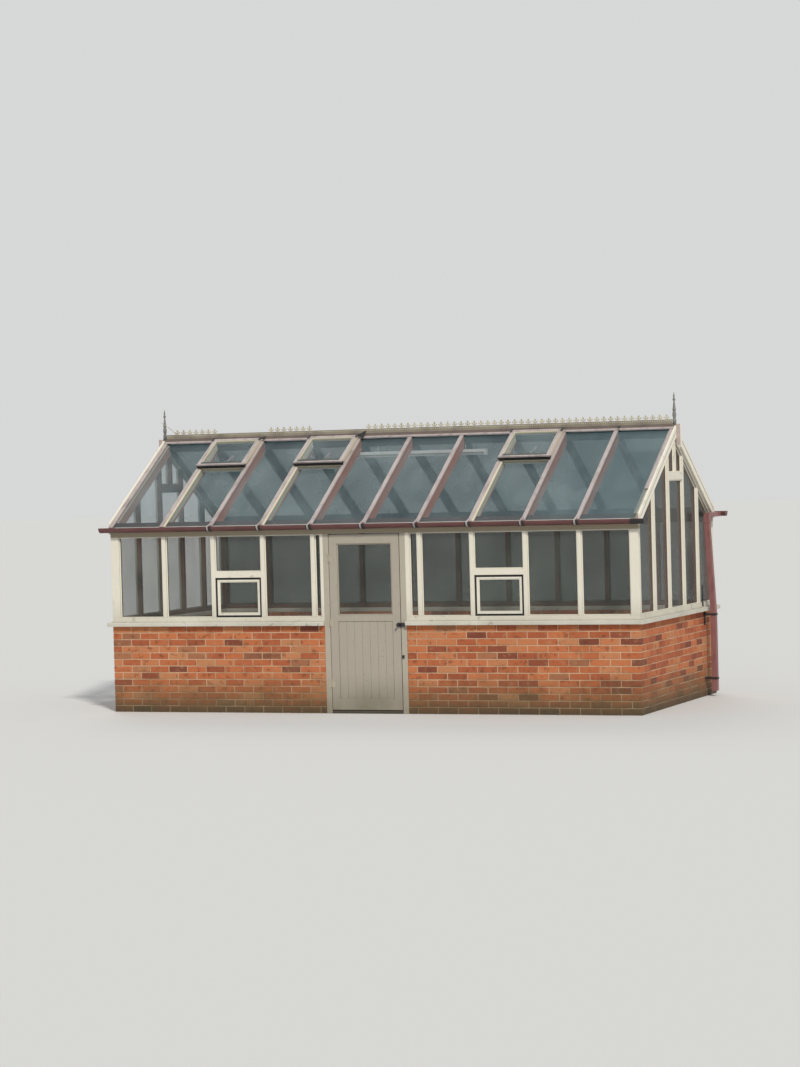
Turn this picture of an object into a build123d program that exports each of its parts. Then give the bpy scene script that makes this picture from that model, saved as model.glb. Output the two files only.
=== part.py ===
from build123d import *
import os
from math import cos, radians, sin, tan

# Glass greenhouse on a low brick wall, in millimetres.
# X runs along the front to the right, Y from front to back, Z up, ground at Z = 0.

os.makedirs("parts", exist_ok=True)

# Plan
bay = 600.0
bays_per_side = 4
end_margin = 52.0
frame_depth = 2900.0
gable_bays = 5

# Brickwork and sill
brick_height = 955.0
brick_thickness = 103.0
sill_height = 45.0
sill_overhang = 50.0
sill_chamfer = 10.0
butt_gap = 0.5

# Timber frame
rail_height = 50.0
window_height = 900.0
post_width = 47.0
post_depth = 70.0
corner_width = 98.0
eaves_face_height = 113.0
glass_thickness = 4.0
glass_setback = 30.0

# Bays of the front from left to right, below the eaves and on the roof
wall_bay_kinds = ("plain", "plain", "vent", "plain", "door", "plain", "vent", "plain", "plain")
roof_bay_kinds = ("plain", "vent", "plain", "vent", "plain", "plain", "plain", "vent", "plain", "plain")

# Side vents in the long wall, one sash under a transom
transom_rise = 435.0
transom_height = 65.0
seal_width = 13.0
seal_depth = 30.0
seal_setback = 12.0
sash_width = 28.0
sash_depth = 34.0

# Gable
gable_rail_rise = 485.0
gable_rail_height = 85.0
barge_thickness = 22.0
barge_width = 105.0
barge_stand = 12.0

# Roof
roof_pitch = 32.5
eaves_overhang = 46.0
rafter_width = 45.0
rafter_depth = 105.0
cap_width = 45.0
cap_thickness = 22.0
pane_margin = 5.0
ridge_board_width = 30.0
ridge_board_depth = 85.0
ridge_gap = 20.0
broken_cap_share = 0.685

# Roof vents, hinged at the ridge and standing a little open
vent_bottom = 590.0
curb_width = 30.0
curb_stand = 4.0
curb_drop = 60.0
vent_frame_width = 45.0
vent_frame_height = 38.0
vent_side_gap = 6.0
curb_ridge_gap = 24.0
vent_ridge_gap = 2.0
vent_lip = 15.0
vent_open = 1.5

# Ridge capping, cresting and finials
capping_wing = 48.0
capping_thickness = 5.0
capping_head = 26.0
capping_foot = 40.0
crest_rise = 27.4
crest_strip = 48.0
crest_motif = 59.0
crest_pitch = 79.5
crest_thickness = 6.0
crest_end_margin = 26.0
motif_width = 66.0
motif_sink = 1.0
motif_shares = (
    (-0.22, 0.0),
    (0.22, 0.0),
    (0.22, 0.30),
    (1.0, 0.26),
    (0.9, 0.62),
    (0.4, 0.62),
    (0.0, 1.0),
    (-0.4, 0.62),
    (-0.9, 0.62),
    (-1.0, 0.26),
    (-0.22, 0.30),
)
crest_run_insets = (160.0, 1353.0)
crest_run_count = 7
crest_long_inset = 2560.0
crest_last_inset = 80.0
drop_post_size = 50.0
drop_post_length = 230.0
drop_point_length = 36.0
finial_height = 343.0
finial_radius = 21.0
finial_shares = (
    (1.0, 0.0),
    (1.0, 0.15),
    (0.70, 0.17),
    (0.92, 0.24),
    (1.0, 0.30),
    (0.85, 0.37),
    (0.62, 0.42),
    (0.95, 0.43),
    (0.95, 0.46),
    (0.80, 0.48),
    (0.30, 0.72),
    (0.70, 0.75),
    (0.70, 0.79),
    (0.35, 0.82),
    (0.50, 0.87),
    (0.10, 1.0),
)

# Rainwater goods
gutter_radius = 52.0
gutter_wall = 3.0
gutter_rim_drop = 11.0
gutter_cut_margin = 2.0
front_gutter_end = 95.0
back_gutter_end = 145.0
bracket_thickness = 4.0
bracket_width = 66.0
bracket_tail = 22.0
pipe_size = 65.0
pipe_upper_offset = 60.0
pipe_lower_offset = 108.0
pipe_corner_inset = 445.0
outlet_bite = 26.0
pipe_neck = 170.0
pipe_bend_drop = 10.0
pipe_foot = 60.0
pipe_clip_rise = 130.0
pipe_clip_drop = 50.0
pipe_clip_height = 24.0
pipe_clip_thickness = 4.0

# Door, hung on its left edge and opening outwards
leaf_width = 815.0
leaf_thickness = 45.0
leaf_head_gap = 10.0
threshold_height = 32.0
leaf_foot_gap = 8.0
hinge_gap = 6.0
latch_gap = 8.0
jamb_width = 64.0
left_stud_width = 35.0
right_stud_width = 50.0
left_light_width = 64.0
right_light_width = 87.0
stop_width = 14.0
stop_gap = 6.0
stile_width = 90.0
top_rail_height = 100.0
mid_rail_height = 66.0
bottom_rail_height = 118.0
panel_thickness = 18.0
panel_setback = 8.0
door_glass_setback = 20.0

# Door ironmongery
hinge_foot_inset = 290.0
hinge_head_inset = 250.0
hinge_length = 90.0
hinge_plate_width = 36.0
hinge_plate_thickness = 3.0
hinge_centre_stand = 7.0
knuckle_radius = 6.0
pin_radius = 3.0
pin_play = 0.2
knuckle_play = 0.6
latch_height = 42.0
latch_width = 34.0
latch_depth = 18.0
latch_drop = 40.0
keeper_width = 40.0
latch_knob_radius = 14.0
latch_knob_length = 30.0
hook_drop = 385.0
hook_width = 24.0
hook_height = 34.0
hook_depth = 9.0
hook_inset = 6.0

# Lamp batten hung under the ridge
lamp_left = -655.0
lamp_right = 900.0
lamp_width = 62.0
lamp_height = 34.0
lamp_hang = 60.0
lamp_end = 22.0
lamp_hanger_radius = 3.0
lamp_hanger_inset = 250.0
lamp_tube_radius = 13.0

# Sizes worked out from the driving ones
pitch = radians(roof_pitch)
half_depth = frame_depth / 2
left_of_leaf = left_light_width + left_stud_width + jamb_width + hinge_gap
right_of_leaf = right_light_width + right_stud_width + jamb_width + latch_gap
door_bay = post_width + left_of_leaf + leaf_width + right_of_leaf
half_length = door_bay / 2 + bays_per_side * bay + end_margin
left_lines = [-half_length + end_margin + i * bay for i in range(bays_per_side + 1)]
right_lines = [-x for x in reversed(left_lines)]
bar_lines = left_lines + [0.0] + right_lines
front_lines = left_lines[1:] + right_lines[:-1]
back_lines = bar_lines[1:-1]
rail_bottom = brick_height + sill_height
rail_top = rail_bottom + rail_height
plate_z = rail_top + window_height
transom_z = rail_top + transom_rise
glass_below = cap_thickness + glass_thickness
rafter_below = glass_below + rafter_depth
ridge_z = plate_z + eaves_face_height + glass_below / cos(pitch) + half_depth * tan(pitch)
crest_base = ridge_z + crest_rise
foot_run = half_depth + eaves_overhang
slope_length = foot_run / cos(pitch)
beam_inner = half_depth - post_depth
gable_pitch = (frame_depth - 2 * post_depth + post_width) / gable_bays
gable_margin = post_depth - post_width / 2
gable_lines = [-half_depth + gable_margin + i * gable_pitch for i in range(1, gable_bays)]
gable_rail_z = plate_z + gable_rail_rise
gutter_z = ridge_z - foot_run * tan(pitch) - gutter_rim_drop
gutter_y = half_depth + bracket_thickness + gutter_radius
pipe_y = half_depth - pipe_corner_inset
leaf_left = -door_bay / 2 + post_width / 2 + left_of_leaf
leaf_right = leaf_left + leaf_width
leaf_bottom = threshold_height + leaf_foot_gap
leaf_top = plate_z - leaf_head_gap
jamb_left = leaf_left - hinge_gap - jamb_width
jamb_right = leaf_right + latch_gap + jamb_width
pivot_x = leaf_left - hinge_gap / 2
pivot_y = -half_depth - hinge_centre_stand
mid_rail_bottom = rail_bottom
latch_centre = mid_rail_bottom - latch_drop
hook_centre = mid_rail_bottom - hook_drop
hinge_heights = (leaf_bottom + hinge_foot_inset, (leaf_bottom + leaf_top) / 2, leaf_top - hinge_head_inset)

BOTTOM = (Align.CENTER, Align.CENTER, Align.MIN)
CORNER = (Align.MIN, Align.MIN, Align.MIN)


def roof_z(y, rise=0.0):
    """Height at distance y from the ridge of the plane that lies rise above the bar caps."""
    return ridge_z - abs(y) * tan(pitch) + rise / cos(pitch)


def slope_plane(side):
    """Plane of the bar caps with its origin on the ridge, side -1 in front and 1 behind."""
    return Plane(
        origin=(0, 0, ridge_z),
        x_dir=(-side, 0, 0),
        z_dir=(0, side * sin(pitch), cos(pitch)),
    )


def block(x_low, x_high, y_low, y_high, z_low, z_high):
    """Add a box between two corners to the part being built."""
    with Locations((x_low, y_low, z_low)):
        Box(x_high - x_low, y_high - y_low, z_high - z_low, align=CORNER)


def slope_strip(side, x_low, x_high, near, far, low, high):
    """Add a flat strip on a roof slope, from near to far down from the ridge."""
    with BuildSketch(slope_plane(side).offset(low)) as strip:
        with Locations(((x_low + x_high) / 2, -(near + far) / 2)):
            Rectangle(x_high - x_low, far - near)
    extrude(strip.sketch, amount=high - low)


def gable_profile(x_low, x_high, points):
    """Add a plate of the given outline in Y and Z between two places in X."""
    with BuildSketch(Plane.YZ.offset(x_low)) as profile:
        with BuildLine():
            Polyline(*points, close=True)
        make_face()
    extrude(profile.sketch, amount=x_high - x_low)


def finish(part, name):
    """Label a finished piece and write it out."""
    part.label = name
    export_step(part, f"parts/{name}.step")


# Brick walls, the front one split at the doorway
front_face = -half_depth
back_face = half_depth

with BuildPart() as brick_front_left:
    block(-half_length, jamb_left, front_face, front_face + brick_thickness, 0, brick_height)
finish(brick_front_left.part, "brick_front_left")

with BuildPart() as brick_front_right:
    block(jamb_right, half_length, front_face, front_face + brick_thickness, 0, brick_height)
finish(brick_front_right.part, "brick_front_right")

with BuildPart() as brick_back:
    block(-half_length, half_length, back_face - brick_thickness, back_face, 0, brick_height)
finish(brick_back.part, "brick_back")

side_wall_end = half_depth - brick_thickness

with BuildPart() as brick_left:
    block(-half_length, -half_length + brick_thickness, -side_wall_end, side_wall_end, 0, brick_height)
finish(brick_left.part, "brick_left")

with BuildPart() as brick_right:
    block(half_length - brick_thickness, half_length, -side_wall_end, side_wall_end, 0, brick_height)
finish(brick_right.part, "brick_right")


# Sill boards, butted at the corners, with an eased outer edge
sill_x = half_length + sill_overhang
sill_y = half_depth + sill_overhang
sill_inner_y = half_depth - brick_thickness

with BuildPart() as sill_boards:
    block(-sill_x, jamb_left, -sill_y, -sill_inner_y, brick_height, rail_bottom)
    block(jamb_right, sill_x, -sill_y, -sill_inner_y, brick_height, rail_bottom)
    block(-sill_x, sill_x, sill_inner_y, sill_y, brick_height, rail_bottom)
    sill_side_end = sill_inner_y - butt_gap
    sill_inner_x = half_length - brick_thickness
    block(-sill_x, -sill_inner_x, -sill_side_end, sill_side_end, brick_height, rail_bottom)
    block(sill_inner_x, sill_x, -sill_side_end, sill_side_end, brick_height, rail_bottom)
    top_edges = sill_boards.edges().group_by(Axis.Z)[-1]
    outer_front = top_edges.filter_by(Axis.X).group_by(Axis.Y)[0]
    outer_back = top_edges.filter_by(Axis.X).group_by(Axis.Y)[-1]
    chamfer(outer_front + outer_back, length=sill_chamfer)
finish(sill_boards.part, "sill_boards")


# Bottom rails on the sill, which carry the posts
with BuildPart() as bottom_rails:
    block(-half_length, jamb_left, -half_depth, -beam_inner, rail_bottom, rail_top)
    block(jamb_right, half_length, -half_depth, -beam_inner, rail_bottom, rail_top)
    block(-half_length, half_length, beam_inner, half_depth, rail_bottom, rail_top)
    rail_side_end = beam_inner - butt_gap
    block(-half_length, -half_length + post_depth, -rail_side_end, rail_side_end, rail_bottom, rail_top)
    block(half_length - post_depth, half_length, -rail_side_end, rail_side_end, rail_bottom, rail_top)
finish(bottom_rails.part, "bottom_rails")


# Posts
corner_x = half_length - corner_width / 2
post_y = half_depth - post_depth / 2

with BuildPart() as corner_posts:
    with Locations(*[(x, y, rail_top) for x in (-corner_x, corner_x) for y in (-post_y, post_y)]):
        Box(corner_width, post_depth, window_height, align=BOTTOM)
finish(corner_posts.part, "corner_posts")

with BuildPart() as wall_posts:
    front_places = [(x, -post_y, rail_top) for x in front_lines]
    back_places = [(x, post_y, rail_top) for x in back_lines]
    with Locations(*front_places, *back_places):
        Box(post_width, post_depth, window_height, align=BOTTOM)
finish(wall_posts.part, "wall_posts")

with BuildPart() as gable_posts:
    for side in (-1, 1):
        x_low = min(side * half_length, side * (half_length - post_depth))
        for y in gable_lines:
            a, b = y - post_width / 2, y + post_width / 2
            outline = [(a, rail_top), (b, rail_top), (b, roof_z(b, -rafter_below)), (a, roof_z(a, -rafter_below))]
            gable_profile(x_low, x_low + post_depth, outline)
        w = post_width / 2
        foot = gable_rail_z + gable_rail_height
        shoulder = roof_z(w, -rafter_below)
        outline = [(-w, foot), (w, foot), (w, shoulder), (0, roof_z(0, -rafter_below)), (-w, shoulder)]
        gable_profile(x_low, x_low + post_depth, outline)
finish(gable_posts.part, "gable_posts")

inner_gable = max(y for y in gable_lines if y < 0) + post_width / 2

with BuildPart() as gable_rails:
    for side in (-1, 1):
        with Locations((side * (half_length - post_depth / 2), 0, gable_rail_z)):
            Box(post_depth, -2 * inner_gable, gable_rail_height, align=BOTTOM)
finish(gable_rails.part, "gable_rails")


# Eaves beams with a top that follows the roof
with BuildPart() as eaves_beams:
    for side in (-1, 1):
        outline = [
            (side * half_depth, plate_z),
            (side * beam_inner, plate_z),
            (side * beam_inner, roof_z(beam_inner, -glass_below)),
            (side * half_depth, roof_z(half_depth, -glass_below)),
        ]
        gable_profile(-half_length, half_length, outline)
finish(eaves_beams.part, "eaves_beams")


# Vertical glass
def wall_panes(lines):
    """Panes between neighbouring posts of a long wall, as pairs of places in X."""
    panes = []
    start = -half_length + corner_width
    for x in lines:
        panes.append((start, x - post_width / 2))
        start = x + post_width / 2
    panes.append((start, half_length - corner_width))
    return panes


glass_front_y = -half_depth + glass_setback
front_bays = wall_panes(front_lines)
sash_panes = [pane for pane, kind in zip(front_bays, wall_bay_kinds) if kind == "vent"]
door_panes = [pane for pane, kind in zip(front_bays, wall_bay_kinds) if kind == "door"]

with BuildPart() as wall_glass:
    for pane in front_bays:
        if pane in door_panes:
            block(pane[0], jamb_left - left_stud_width, glass_front_y, glass_front_y + glass_thickness,
                  rail_top, plate_z)
            block(jamb_right + right_stud_width, pane[1], glass_front_y, glass_front_y + glass_thickness,
                  rail_top, plate_z)
        else:
            foot = transom_z + transom_height if pane in sash_panes else rail_top
            block(pane[0], pane[1], glass_front_y, glass_front_y + glass_thickness, foot, plate_z)
    for pane in wall_panes(back_lines):
        block(pane[0], pane[1], -glass_front_y - glass_thickness, -glass_front_y, rail_top, plate_z)
finish(wall_glass.part, "wall_glass")

with BuildPart() as gable_glass:
    half_post = post_width / 2
    tall_edges = [-beam_inner] + [e for y in gable_lines for e in (y - half_post, y + half_post)] + [beam_inner]
    for side in (-1, 1):
        outer = side * (half_length - glass_setback)
        x_low = min(outer, outer - side * glass_thickness)
        x_high = x_low + glass_thickness
        for a, b in zip(tall_edges[0::2], tall_edges[1::2]):
            if a < 0 < b:
                outline = [(a, rail_top), (b, rail_top), (b, gable_rail_z), (a, gable_rail_z)]
                gable_profile(x_low, x_high, outline)
                foot = gable_rail_z + gable_rail_height
                for e, f in ((a, -half_post), (half_post, b)):
                    outline = [(e, foot), (f, foot), (f, roof_z(f, -rafter_below)), (e, roof_z(e, -rafter_below))]
                    gable_profile(x_low, x_high, outline)
            else:
                outline = [(a, rail_top), (b, rail_top), (b, roof_z(b, -rafter_below)), (a, roof_z(a, -rafter_below))]
                gable_profile(x_low, x_high, outline)
finish(gable_glass.part, "gable_glass")


# Side vents: transom, black seal, sash and its pane
with BuildPart() as side_vent_transoms:
    for pane in sash_panes:
        block(pane[0], pane[1], -half_depth, -beam_inner, transom_z, transom_z + transom_height)
finish(side_vent_transoms.part, "side_vent_transoms")

seal_y = -half_depth + seal_setback
with BuildPart() as side_vent_seals:
    for pane in sash_panes:
        block(pane[0], pane[1], seal_y, seal_y + seal_depth, rail_top, transom_z)
        with Locations(((pane[0] + pane[1]) / 2, seal_y + seal_depth / 2, (rail_top + transom_z) / 2)):
            Box(pane[1] - pane[0] - 2 * seal_width, seal_depth, transom_rise - 2 * seal_width, mode=Mode.SUBTRACT)
finish(side_vent_seals.part, "side_vent_seals")

with BuildPart() as side_vent_sashes:
    for pane in sash_panes:
        block(pane[0] + seal_width, pane[1] - seal_width, seal_y, seal_y + sash_depth,
              rail_top + seal_width, transom_z - seal_width)
        with Locations(((pane[0] + pane[1]) / 2, seal_y + sash_depth / 2, (rail_top + transom_z) / 2)):
            Box(pane[1] - pane[0] - 2 * (seal_width + sash_width), sash_depth,
                transom_rise - 2 * (seal_width + sash_width), mode=Mode.SUBTRACT)
finish(side_vent_sashes.part, "side_vent_sashes")

with BuildPart() as side_vent_glass:
    rim = seal_width + sash_width
    pane_y = seal_y + (sash_depth - glass_thickness) / 2
    for pane in sash_panes:
        block(pane[0] + rim, pane[1] - rim, pane_y, pane_y + glass_thickness, rail_top + rim, transom_z - rim)
finish(side_vent_glass.part, "side_vent_glass")


# Rafters butt on the eaves beam and on the ridge board, the end ones as wide as the gable posts
def rafter_outline(side):
    """Outline of a rafter in Y and Z, with plumb cuts at both ends."""
    top, foot = ridge_board_width / 2, beam_inner
    return [
        (side * top, roof_z(top, -glass_below)),
        (side * foot, roof_z(foot, -glass_below)),
        (side * foot, roof_z(foot, -rafter_below)),
        (side * top, roof_z(top, -rafter_below)),
    ]


def rafter_set(side):
    """Add every rafter of one slope."""
    for x in bar_lines[1:-1]:
        gable_profile(x - rafter_width / 2, x + rafter_width / 2, rafter_outline(side))
    gable_profile(-half_length, -half_length + post_depth, rafter_outline(side))
    gable_profile(half_length - post_depth, half_length, rafter_outline(side))


with BuildPart() as rafters:
    rafter_set(-1)
    rafter_set(1)
finish(rafters.part, "rafters")

ridge_board_top = roof_z(ridge_board_width / 2, -glass_below)
with BuildPart() as ridge_board:
    with Locations((0, 0, ridge_board_top - ridge_board_depth)):
        Box(2 * half_length, ridge_board_width, ridge_board_depth, align=BOTTOM)
finish(ridge_board.part, "ridge_board")


# Capping strips over the bars; the lower end of one verge strip is missing
cap_lines = [-half_length + cap_width / 2] + bar_lines[1:-1] + [half_length - cap_width / 2]

with BuildPart() as bar_caps:
    for side in (-1, 1):
        for x in cap_lines:
            broken = side == -1 and x == cap_lines[-1]
            far = slope_length * broken_cap_share if broken else slope_length
            slope_strip(side, x - cap_width / 2, x + cap_width / 2, ridge_gap, far, -cap_thickness, 0)
finish(bar_caps.part, "bar_caps")


# Roof glass, shorter below the vents
pane_edges = [cap_lines[0] + pane_margin] + bar_lines[1:-1] + [cap_lines[-1] - pane_margin]


def roof_panes(side, kinds):
    """Add the panes of one slope, each between the middles of two bars."""
    for a, b, kind in zip(pane_edges, pane_edges[1:], kinds):
        near = vent_bottom if kind == "vent" else ridge_gap
        slope_strip(side, a + pane_margin, b - pane_margin, near, slope_length, -glass_below, -cap_thickness)


with BuildPart() as roof_glass:
    roof_panes(-1, roof_bay_kinds)
    roof_panes(1, ["plain"] * len(roof_bay_kinds))
finish(roof_glass.part, "roof_glass")


# Roof vents: curb between two rafters, hinged frame and pane
vent_spans = [span for *span, kind in zip(bar_lines, bar_lines[1:], roof_bay_kinds) if kind == "vent"]
vent_near = capping_wing + vent_ridge_gap
curb_near = (ridge_board_width / 2 + curb_drop * sin(pitch)) / cos(pitch) + curb_ridge_gap
vent_far = vent_bottom + vent_lip
vent_middle = curb_near - (vent_near + vent_far) / 2
hinge_line = slope_plane(-1).from_local_coords((0, -curb_near, curb_stand))
vent_pitch = radians(roof_pitch - vent_open)
vent_plane = Plane(origin=hinge_line, x_dir=(1, 0, 0), z_dir=(0, -sin(vent_pitch), cos(vent_pitch)))

with BuildPart() as roof_vent_curbs:
    for a, b in vent_spans:
        low, high = a + rafter_width / 2, b - rafter_width / 2
        slope_strip(-1, low, high, curb_near, vent_bottom, -curb_drop, curb_stand)
        with BuildSketch(slope_plane(-1).offset(-curb_drop)):
            with Locations(((low + high) / 2, -(curb_near + vent_bottom) / 2)):
                Rectangle(high - low - 2 * curb_width, vent_bottom - curb_near - 2 * curb_width)
        extrude(amount=curb_drop + curb_stand, mode=Mode.SUBTRACT)
finish(roof_vent_curbs.part, "roof_vent_curbs")

with BuildPart() as roof_vent_frames:
    for a, b in vent_spans:
        with BuildSketch(vent_plane):
            with Locations(((a + b) / 2, vent_middle)):
                Rectangle(b - a - 2 * vent_side_gap, vent_far - vent_near)
                Rectangle(b - a - 2 * (vent_side_gap + vent_frame_width),
                          vent_far - vent_near - 2 * vent_frame_width, mode=Mode.SUBTRACT)
        extrude(amount=vent_frame_height)
finish(roof_vent_frames.part, "roof_vent_frames")

with BuildPart() as roof_vent_glass:
    for a, b in vent_spans:
        with BuildSketch(vent_plane.offset(vent_frame_height / 2)):
            with Locations(((a + b) / 2, vent_middle)):
                Rectangle(b - a - 2 * (vent_side_gap + vent_frame_width),
                          vent_far - vent_near - 2 * vent_frame_width)
        extrude(amount=glass_thickness)
finish(roof_vent_glass.part, "roof_vent_glass")


# Ridge capping: two wings on the bar caps and an upstand for the cresting
barge_x = half_length + barge_thickness
wing_y = capping_wing * cos(pitch)

with BuildPart() as ridge_capping:
    outline = [
        (-wing_y, roof_z(wing_y)),
        (0, roof_z(0)),
        (wing_y, roof_z(wing_y)),
        (wing_y, roof_z(wing_y, capping_thickness)),
        (capping_foot / 2, roof_z(capping_foot / 2, capping_thickness)),
        (capping_head / 2, crest_base),
        (-capping_head / 2, crest_base),
        (-capping_foot / 2, roof_z(capping_foot / 2, capping_thickness)),
        (-wing_y, roof_z(wing_y, capping_thickness)),
    ]
    gable_profile(-half_length, half_length, outline)
finish(ridge_capping.part, "ridge_capping")

# Cresting in three runs of motifs, with the motifs between them missing
with BuildPart() as cresting:
    strip_end = half_length - crest_end_margin
    long_count = int((2 * half_length - crest_last_inset - crest_long_inset) // crest_pitch) + 1
    runs = [(inset, crest_run_count) for inset in crest_run_insets] + [(crest_long_inset, long_count)]
    places = [-half_length + inset + i * crest_pitch for inset, count in runs for i in range(count)]
    motif_foot = crest_base + crest_strip - motif_sink
    motif_rise = crest_motif + motif_sink
    motif = [(across * motif_width / 2, up * motif_rise) for across, up in motif_shares]
    with BuildSketch(Plane.XZ):
        with Locations((0, crest_base)):
            Rectangle(2 * strip_end, crest_strip, align=(Align.CENTER, Align.MIN))
        with Locations(*[(x, motif_foot) for x in places]):
            Polygon(*motif, align=None)
    extrude(amount=crest_thickness / 2, both=True)
finish(cresting.part, "cresting")


# Bargeboards, in pairs that meet at the apex
with BuildPart() as bargeboards:
    for end in (-1, 1):
        x_low = min(end * half_length, end * barge_x)
        for side in (-1, 1):
            outline = [
                (side * butt_gap, roof_z(butt_gap, barge_stand)),
                (side * half_depth, roof_z(half_depth, barge_stand)),
                (side * half_depth, roof_z(half_depth, barge_stand - barge_width)),
                (side * butt_gap, roof_z(butt_gap, barge_stand - barge_width)),
            ]
            gable_profile(x_low, x_low + barge_thickness, outline)
finish(bargeboards.part, "bargeboards")

# Drop posts at the apex of each gable, pointed below
drop_x = barge_x + drop_post_size / 2
drop_low = crest_base - drop_post_length - drop_point_length

with BuildPart() as drop_posts:
    for end in (-1, 1):
        with Locations((end * drop_x, 0, drop_low + drop_point_length)):
            Box(drop_post_size, drop_post_size, drop_post_length, align=BOTTOM)
        with BuildSketch(Plane.XY.offset(drop_low)):
            with Locations((end * drop_x, 0)):
                Rectangle(drop_post_size / 4, drop_post_size / 4)
        with BuildSketch(Plane.XY.offset(drop_low + drop_point_length)):
            with Locations((end * drop_x, 0)):
                Rectangle(drop_post_size, drop_post_size)
        loft()
finish(drop_posts.part, "drop_posts")

# Finials on the ends of the capping, each with a packing block up to its drop post
with BuildPart() as finials:
    turned = [(out * finial_radius, up * finial_height) for out, up in finial_shares]
    packing_low = roof_z(butt_gap, barge_stand)
    for end in (-1, 1):
        near, far = sorted((end * half_length, end * barge_x))
        block(near, far, -capping_head / 2, capping_head / 2, packing_low, crest_base)
        with BuildSketch(Plane(origin=(end * half_length, 0, crest_base), x_dir=(1, 0, 0), z_dir=(0, -1, 0))):
            with BuildLine():
                Polyline((0, 0), *turned, (0, finial_height), close=True)
            make_face()
        revolve(axis=Axis((end * half_length, 0, crest_base), (0, 0, 1)))
finish(finials.part, "finials")


# Gutters: half-round troughs with stop ends
def gutter(side, x_low, x_high):
    """Add a half-round gutter with closed ends, side -1 in front and 1 behind."""
    centre = (side * gutter_y, gutter_z)
    r = gutter_radius
    with BuildSketch(Plane.YZ.offset(x_low)) as outside:
        with Locations(centre):
            Circle(r)
            Rectangle(2 * r + gutter_cut_margin, r + gutter_cut_margin, align=(Align.CENTER, Align.MIN),
                      mode=Mode.SUBTRACT)
    extrude(outside.sketch, amount=x_high - x_low)
    with BuildSketch(Plane.YZ.offset(x_low + gutter_wall)) as inside:
        with Locations(centre):
            Circle(r - gutter_wall)
            Rectangle(2 * r + gutter_cut_margin, r + gutter_cut_margin, align=(Align.CENTER, Align.MIN),
                      mode=Mode.SUBTRACT)
    extrude(inside.sketch, amount=x_high - x_low - 2 * gutter_wall, mode=Mode.SUBTRACT)


with BuildPart() as front_gutter:
    gutter(-1, -half_length - front_gutter_end, half_length + front_gutter_end)
finish(front_gutter.part, "front_gutter")

with BuildPart() as back_gutter:
    gutter(1, -half_length - back_gutter_end, half_length + back_gutter_end)
finish(back_gutter.part, "back_gutter")

with BuildPart() as gutter_brackets:
    for side, lines in ((-1, bar_lines[2:-1]), (1, bar_lines[1:-1])):
        for x in lines:
            with BuildSketch(Plane.YZ.offset(x - bracket_width / 2)):
                with Locations((side * gutter_y, gutter_z)):
                    Circle(gutter_radius + bracket_thickness)
                    Circle(gutter_radius, mode=Mode.SUBTRACT)
                    Rectangle(3 * gutter_radius, 2 * gutter_radius, align=(Align.CENTER, Align.MIN),
                              mode=Mode.SUBTRACT)
                with Locations((side * (half_depth + bracket_thickness / 2), gutter_z)):
                    Rectangle(bracket_thickness, gutter_radius + bracket_tail, align=(Align.CENTER, Align.MAX))
            extrude(amount=bracket_width)
finish(gutter_brackets.part, "gutter_brackets")


# Downpipe on the right gable, fed by a short box outlet from the back gutter
pipe_top = gutter_z - gutter_wall
with BuildPart() as downpipe:
    upper_x = half_length + pipe_upper_offset
    lower_x = half_length + pipe_lower_offset
    half_pipe = pipe_size / 2
    pipe_bend_top = pipe_top - pipe_neck
    pipe_bend_bottom = brick_height - pipe_bend_drop
    outline = [
        (upper_x - half_pipe, pipe_top),
        (upper_x + half_pipe, pipe_top),
        (upper_x + half_pipe, pipe_bend_top),
        (lower_x + half_pipe, pipe_bend_bottom),
        (lower_x + half_pipe, pipe_foot),
        (lower_x - half_pipe, pipe_foot),
        (lower_x - half_pipe, pipe_bend_bottom),
        (upper_x - half_pipe, pipe_bend_top),
    ]
    with BuildSketch(Plane.XZ.offset(-pipe_y)):
        with BuildLine():
            Polyline(*outline, close=True)
        make_face()
    extrude(amount=half_pipe, both=True)
finish(downpipe.part, "downpipe")

with BuildPart() as gutter_outlet:
    outlet_end = gutter_y - gutter_radius + outlet_bite
    block(upper_x - half_pipe, upper_x + half_pipe, pipe_y + half_pipe, outlet_end, gutter_z - gutter_radius, pipe_top)
    with BuildSketch(Plane.YZ.offset(upper_x - pipe_size)):
        with Locations((gutter_y, gutter_z)):
            Circle(gutter_radius)
    extrude(amount=2 * pipe_size, mode=Mode.SUBTRACT)
finish(gutter_outlet.part, "gutter_outlet")

with BuildPart() as pipe_clips:
    clip = pipe_size + 2 * pipe_clip_thickness
    centre = half_length + pipe_lower_offset
    for z in (pipe_foot + pipe_clip_rise, brick_height - pipe_clip_drop):
        block(half_length, centre + clip / 2, pipe_y - clip / 2, pipe_y + clip / 2, z, z + pipe_clip_height)
        with Locations((centre, pipe_y, z)):
            Box(pipe_size, pipe_size, pipe_clip_height, align=BOTTOM, mode=Mode.SUBTRACT)
finish(pipe_clips.part, "pipe_clips")


# Door frame: jambs with stops, side light studs and threshold
stop_y = -half_depth + leaf_thickness + stop_gap
with BuildPart() as door_jambs:
    block(jamb_left, jamb_left + jamb_width, -half_depth, -beam_inner, 0, plate_z)
    block(jamb_left + jamb_width, jamb_left + jamb_width + stop_width, stop_y, -beam_inner,
          threshold_height, plate_z)
    block(jamb_right - jamb_width, jamb_right, -half_depth, -beam_inner, 0, plate_z)
    block(jamb_right - jamb_width - stop_width, jamb_right - jamb_width, stop_y, -beam_inner,
          threshold_height, plate_z)
finish(door_jambs.part, "door_jambs")

with BuildPart() as side_light_studs:
    block(jamb_left - left_stud_width, jamb_left, -half_depth, -beam_inner, rail_top, plate_z)
    block(jamb_right, jamb_right + right_stud_width, -half_depth, -beam_inner, rail_top, plate_z)
finish(side_light_studs.part, "side_light_studs")

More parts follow.
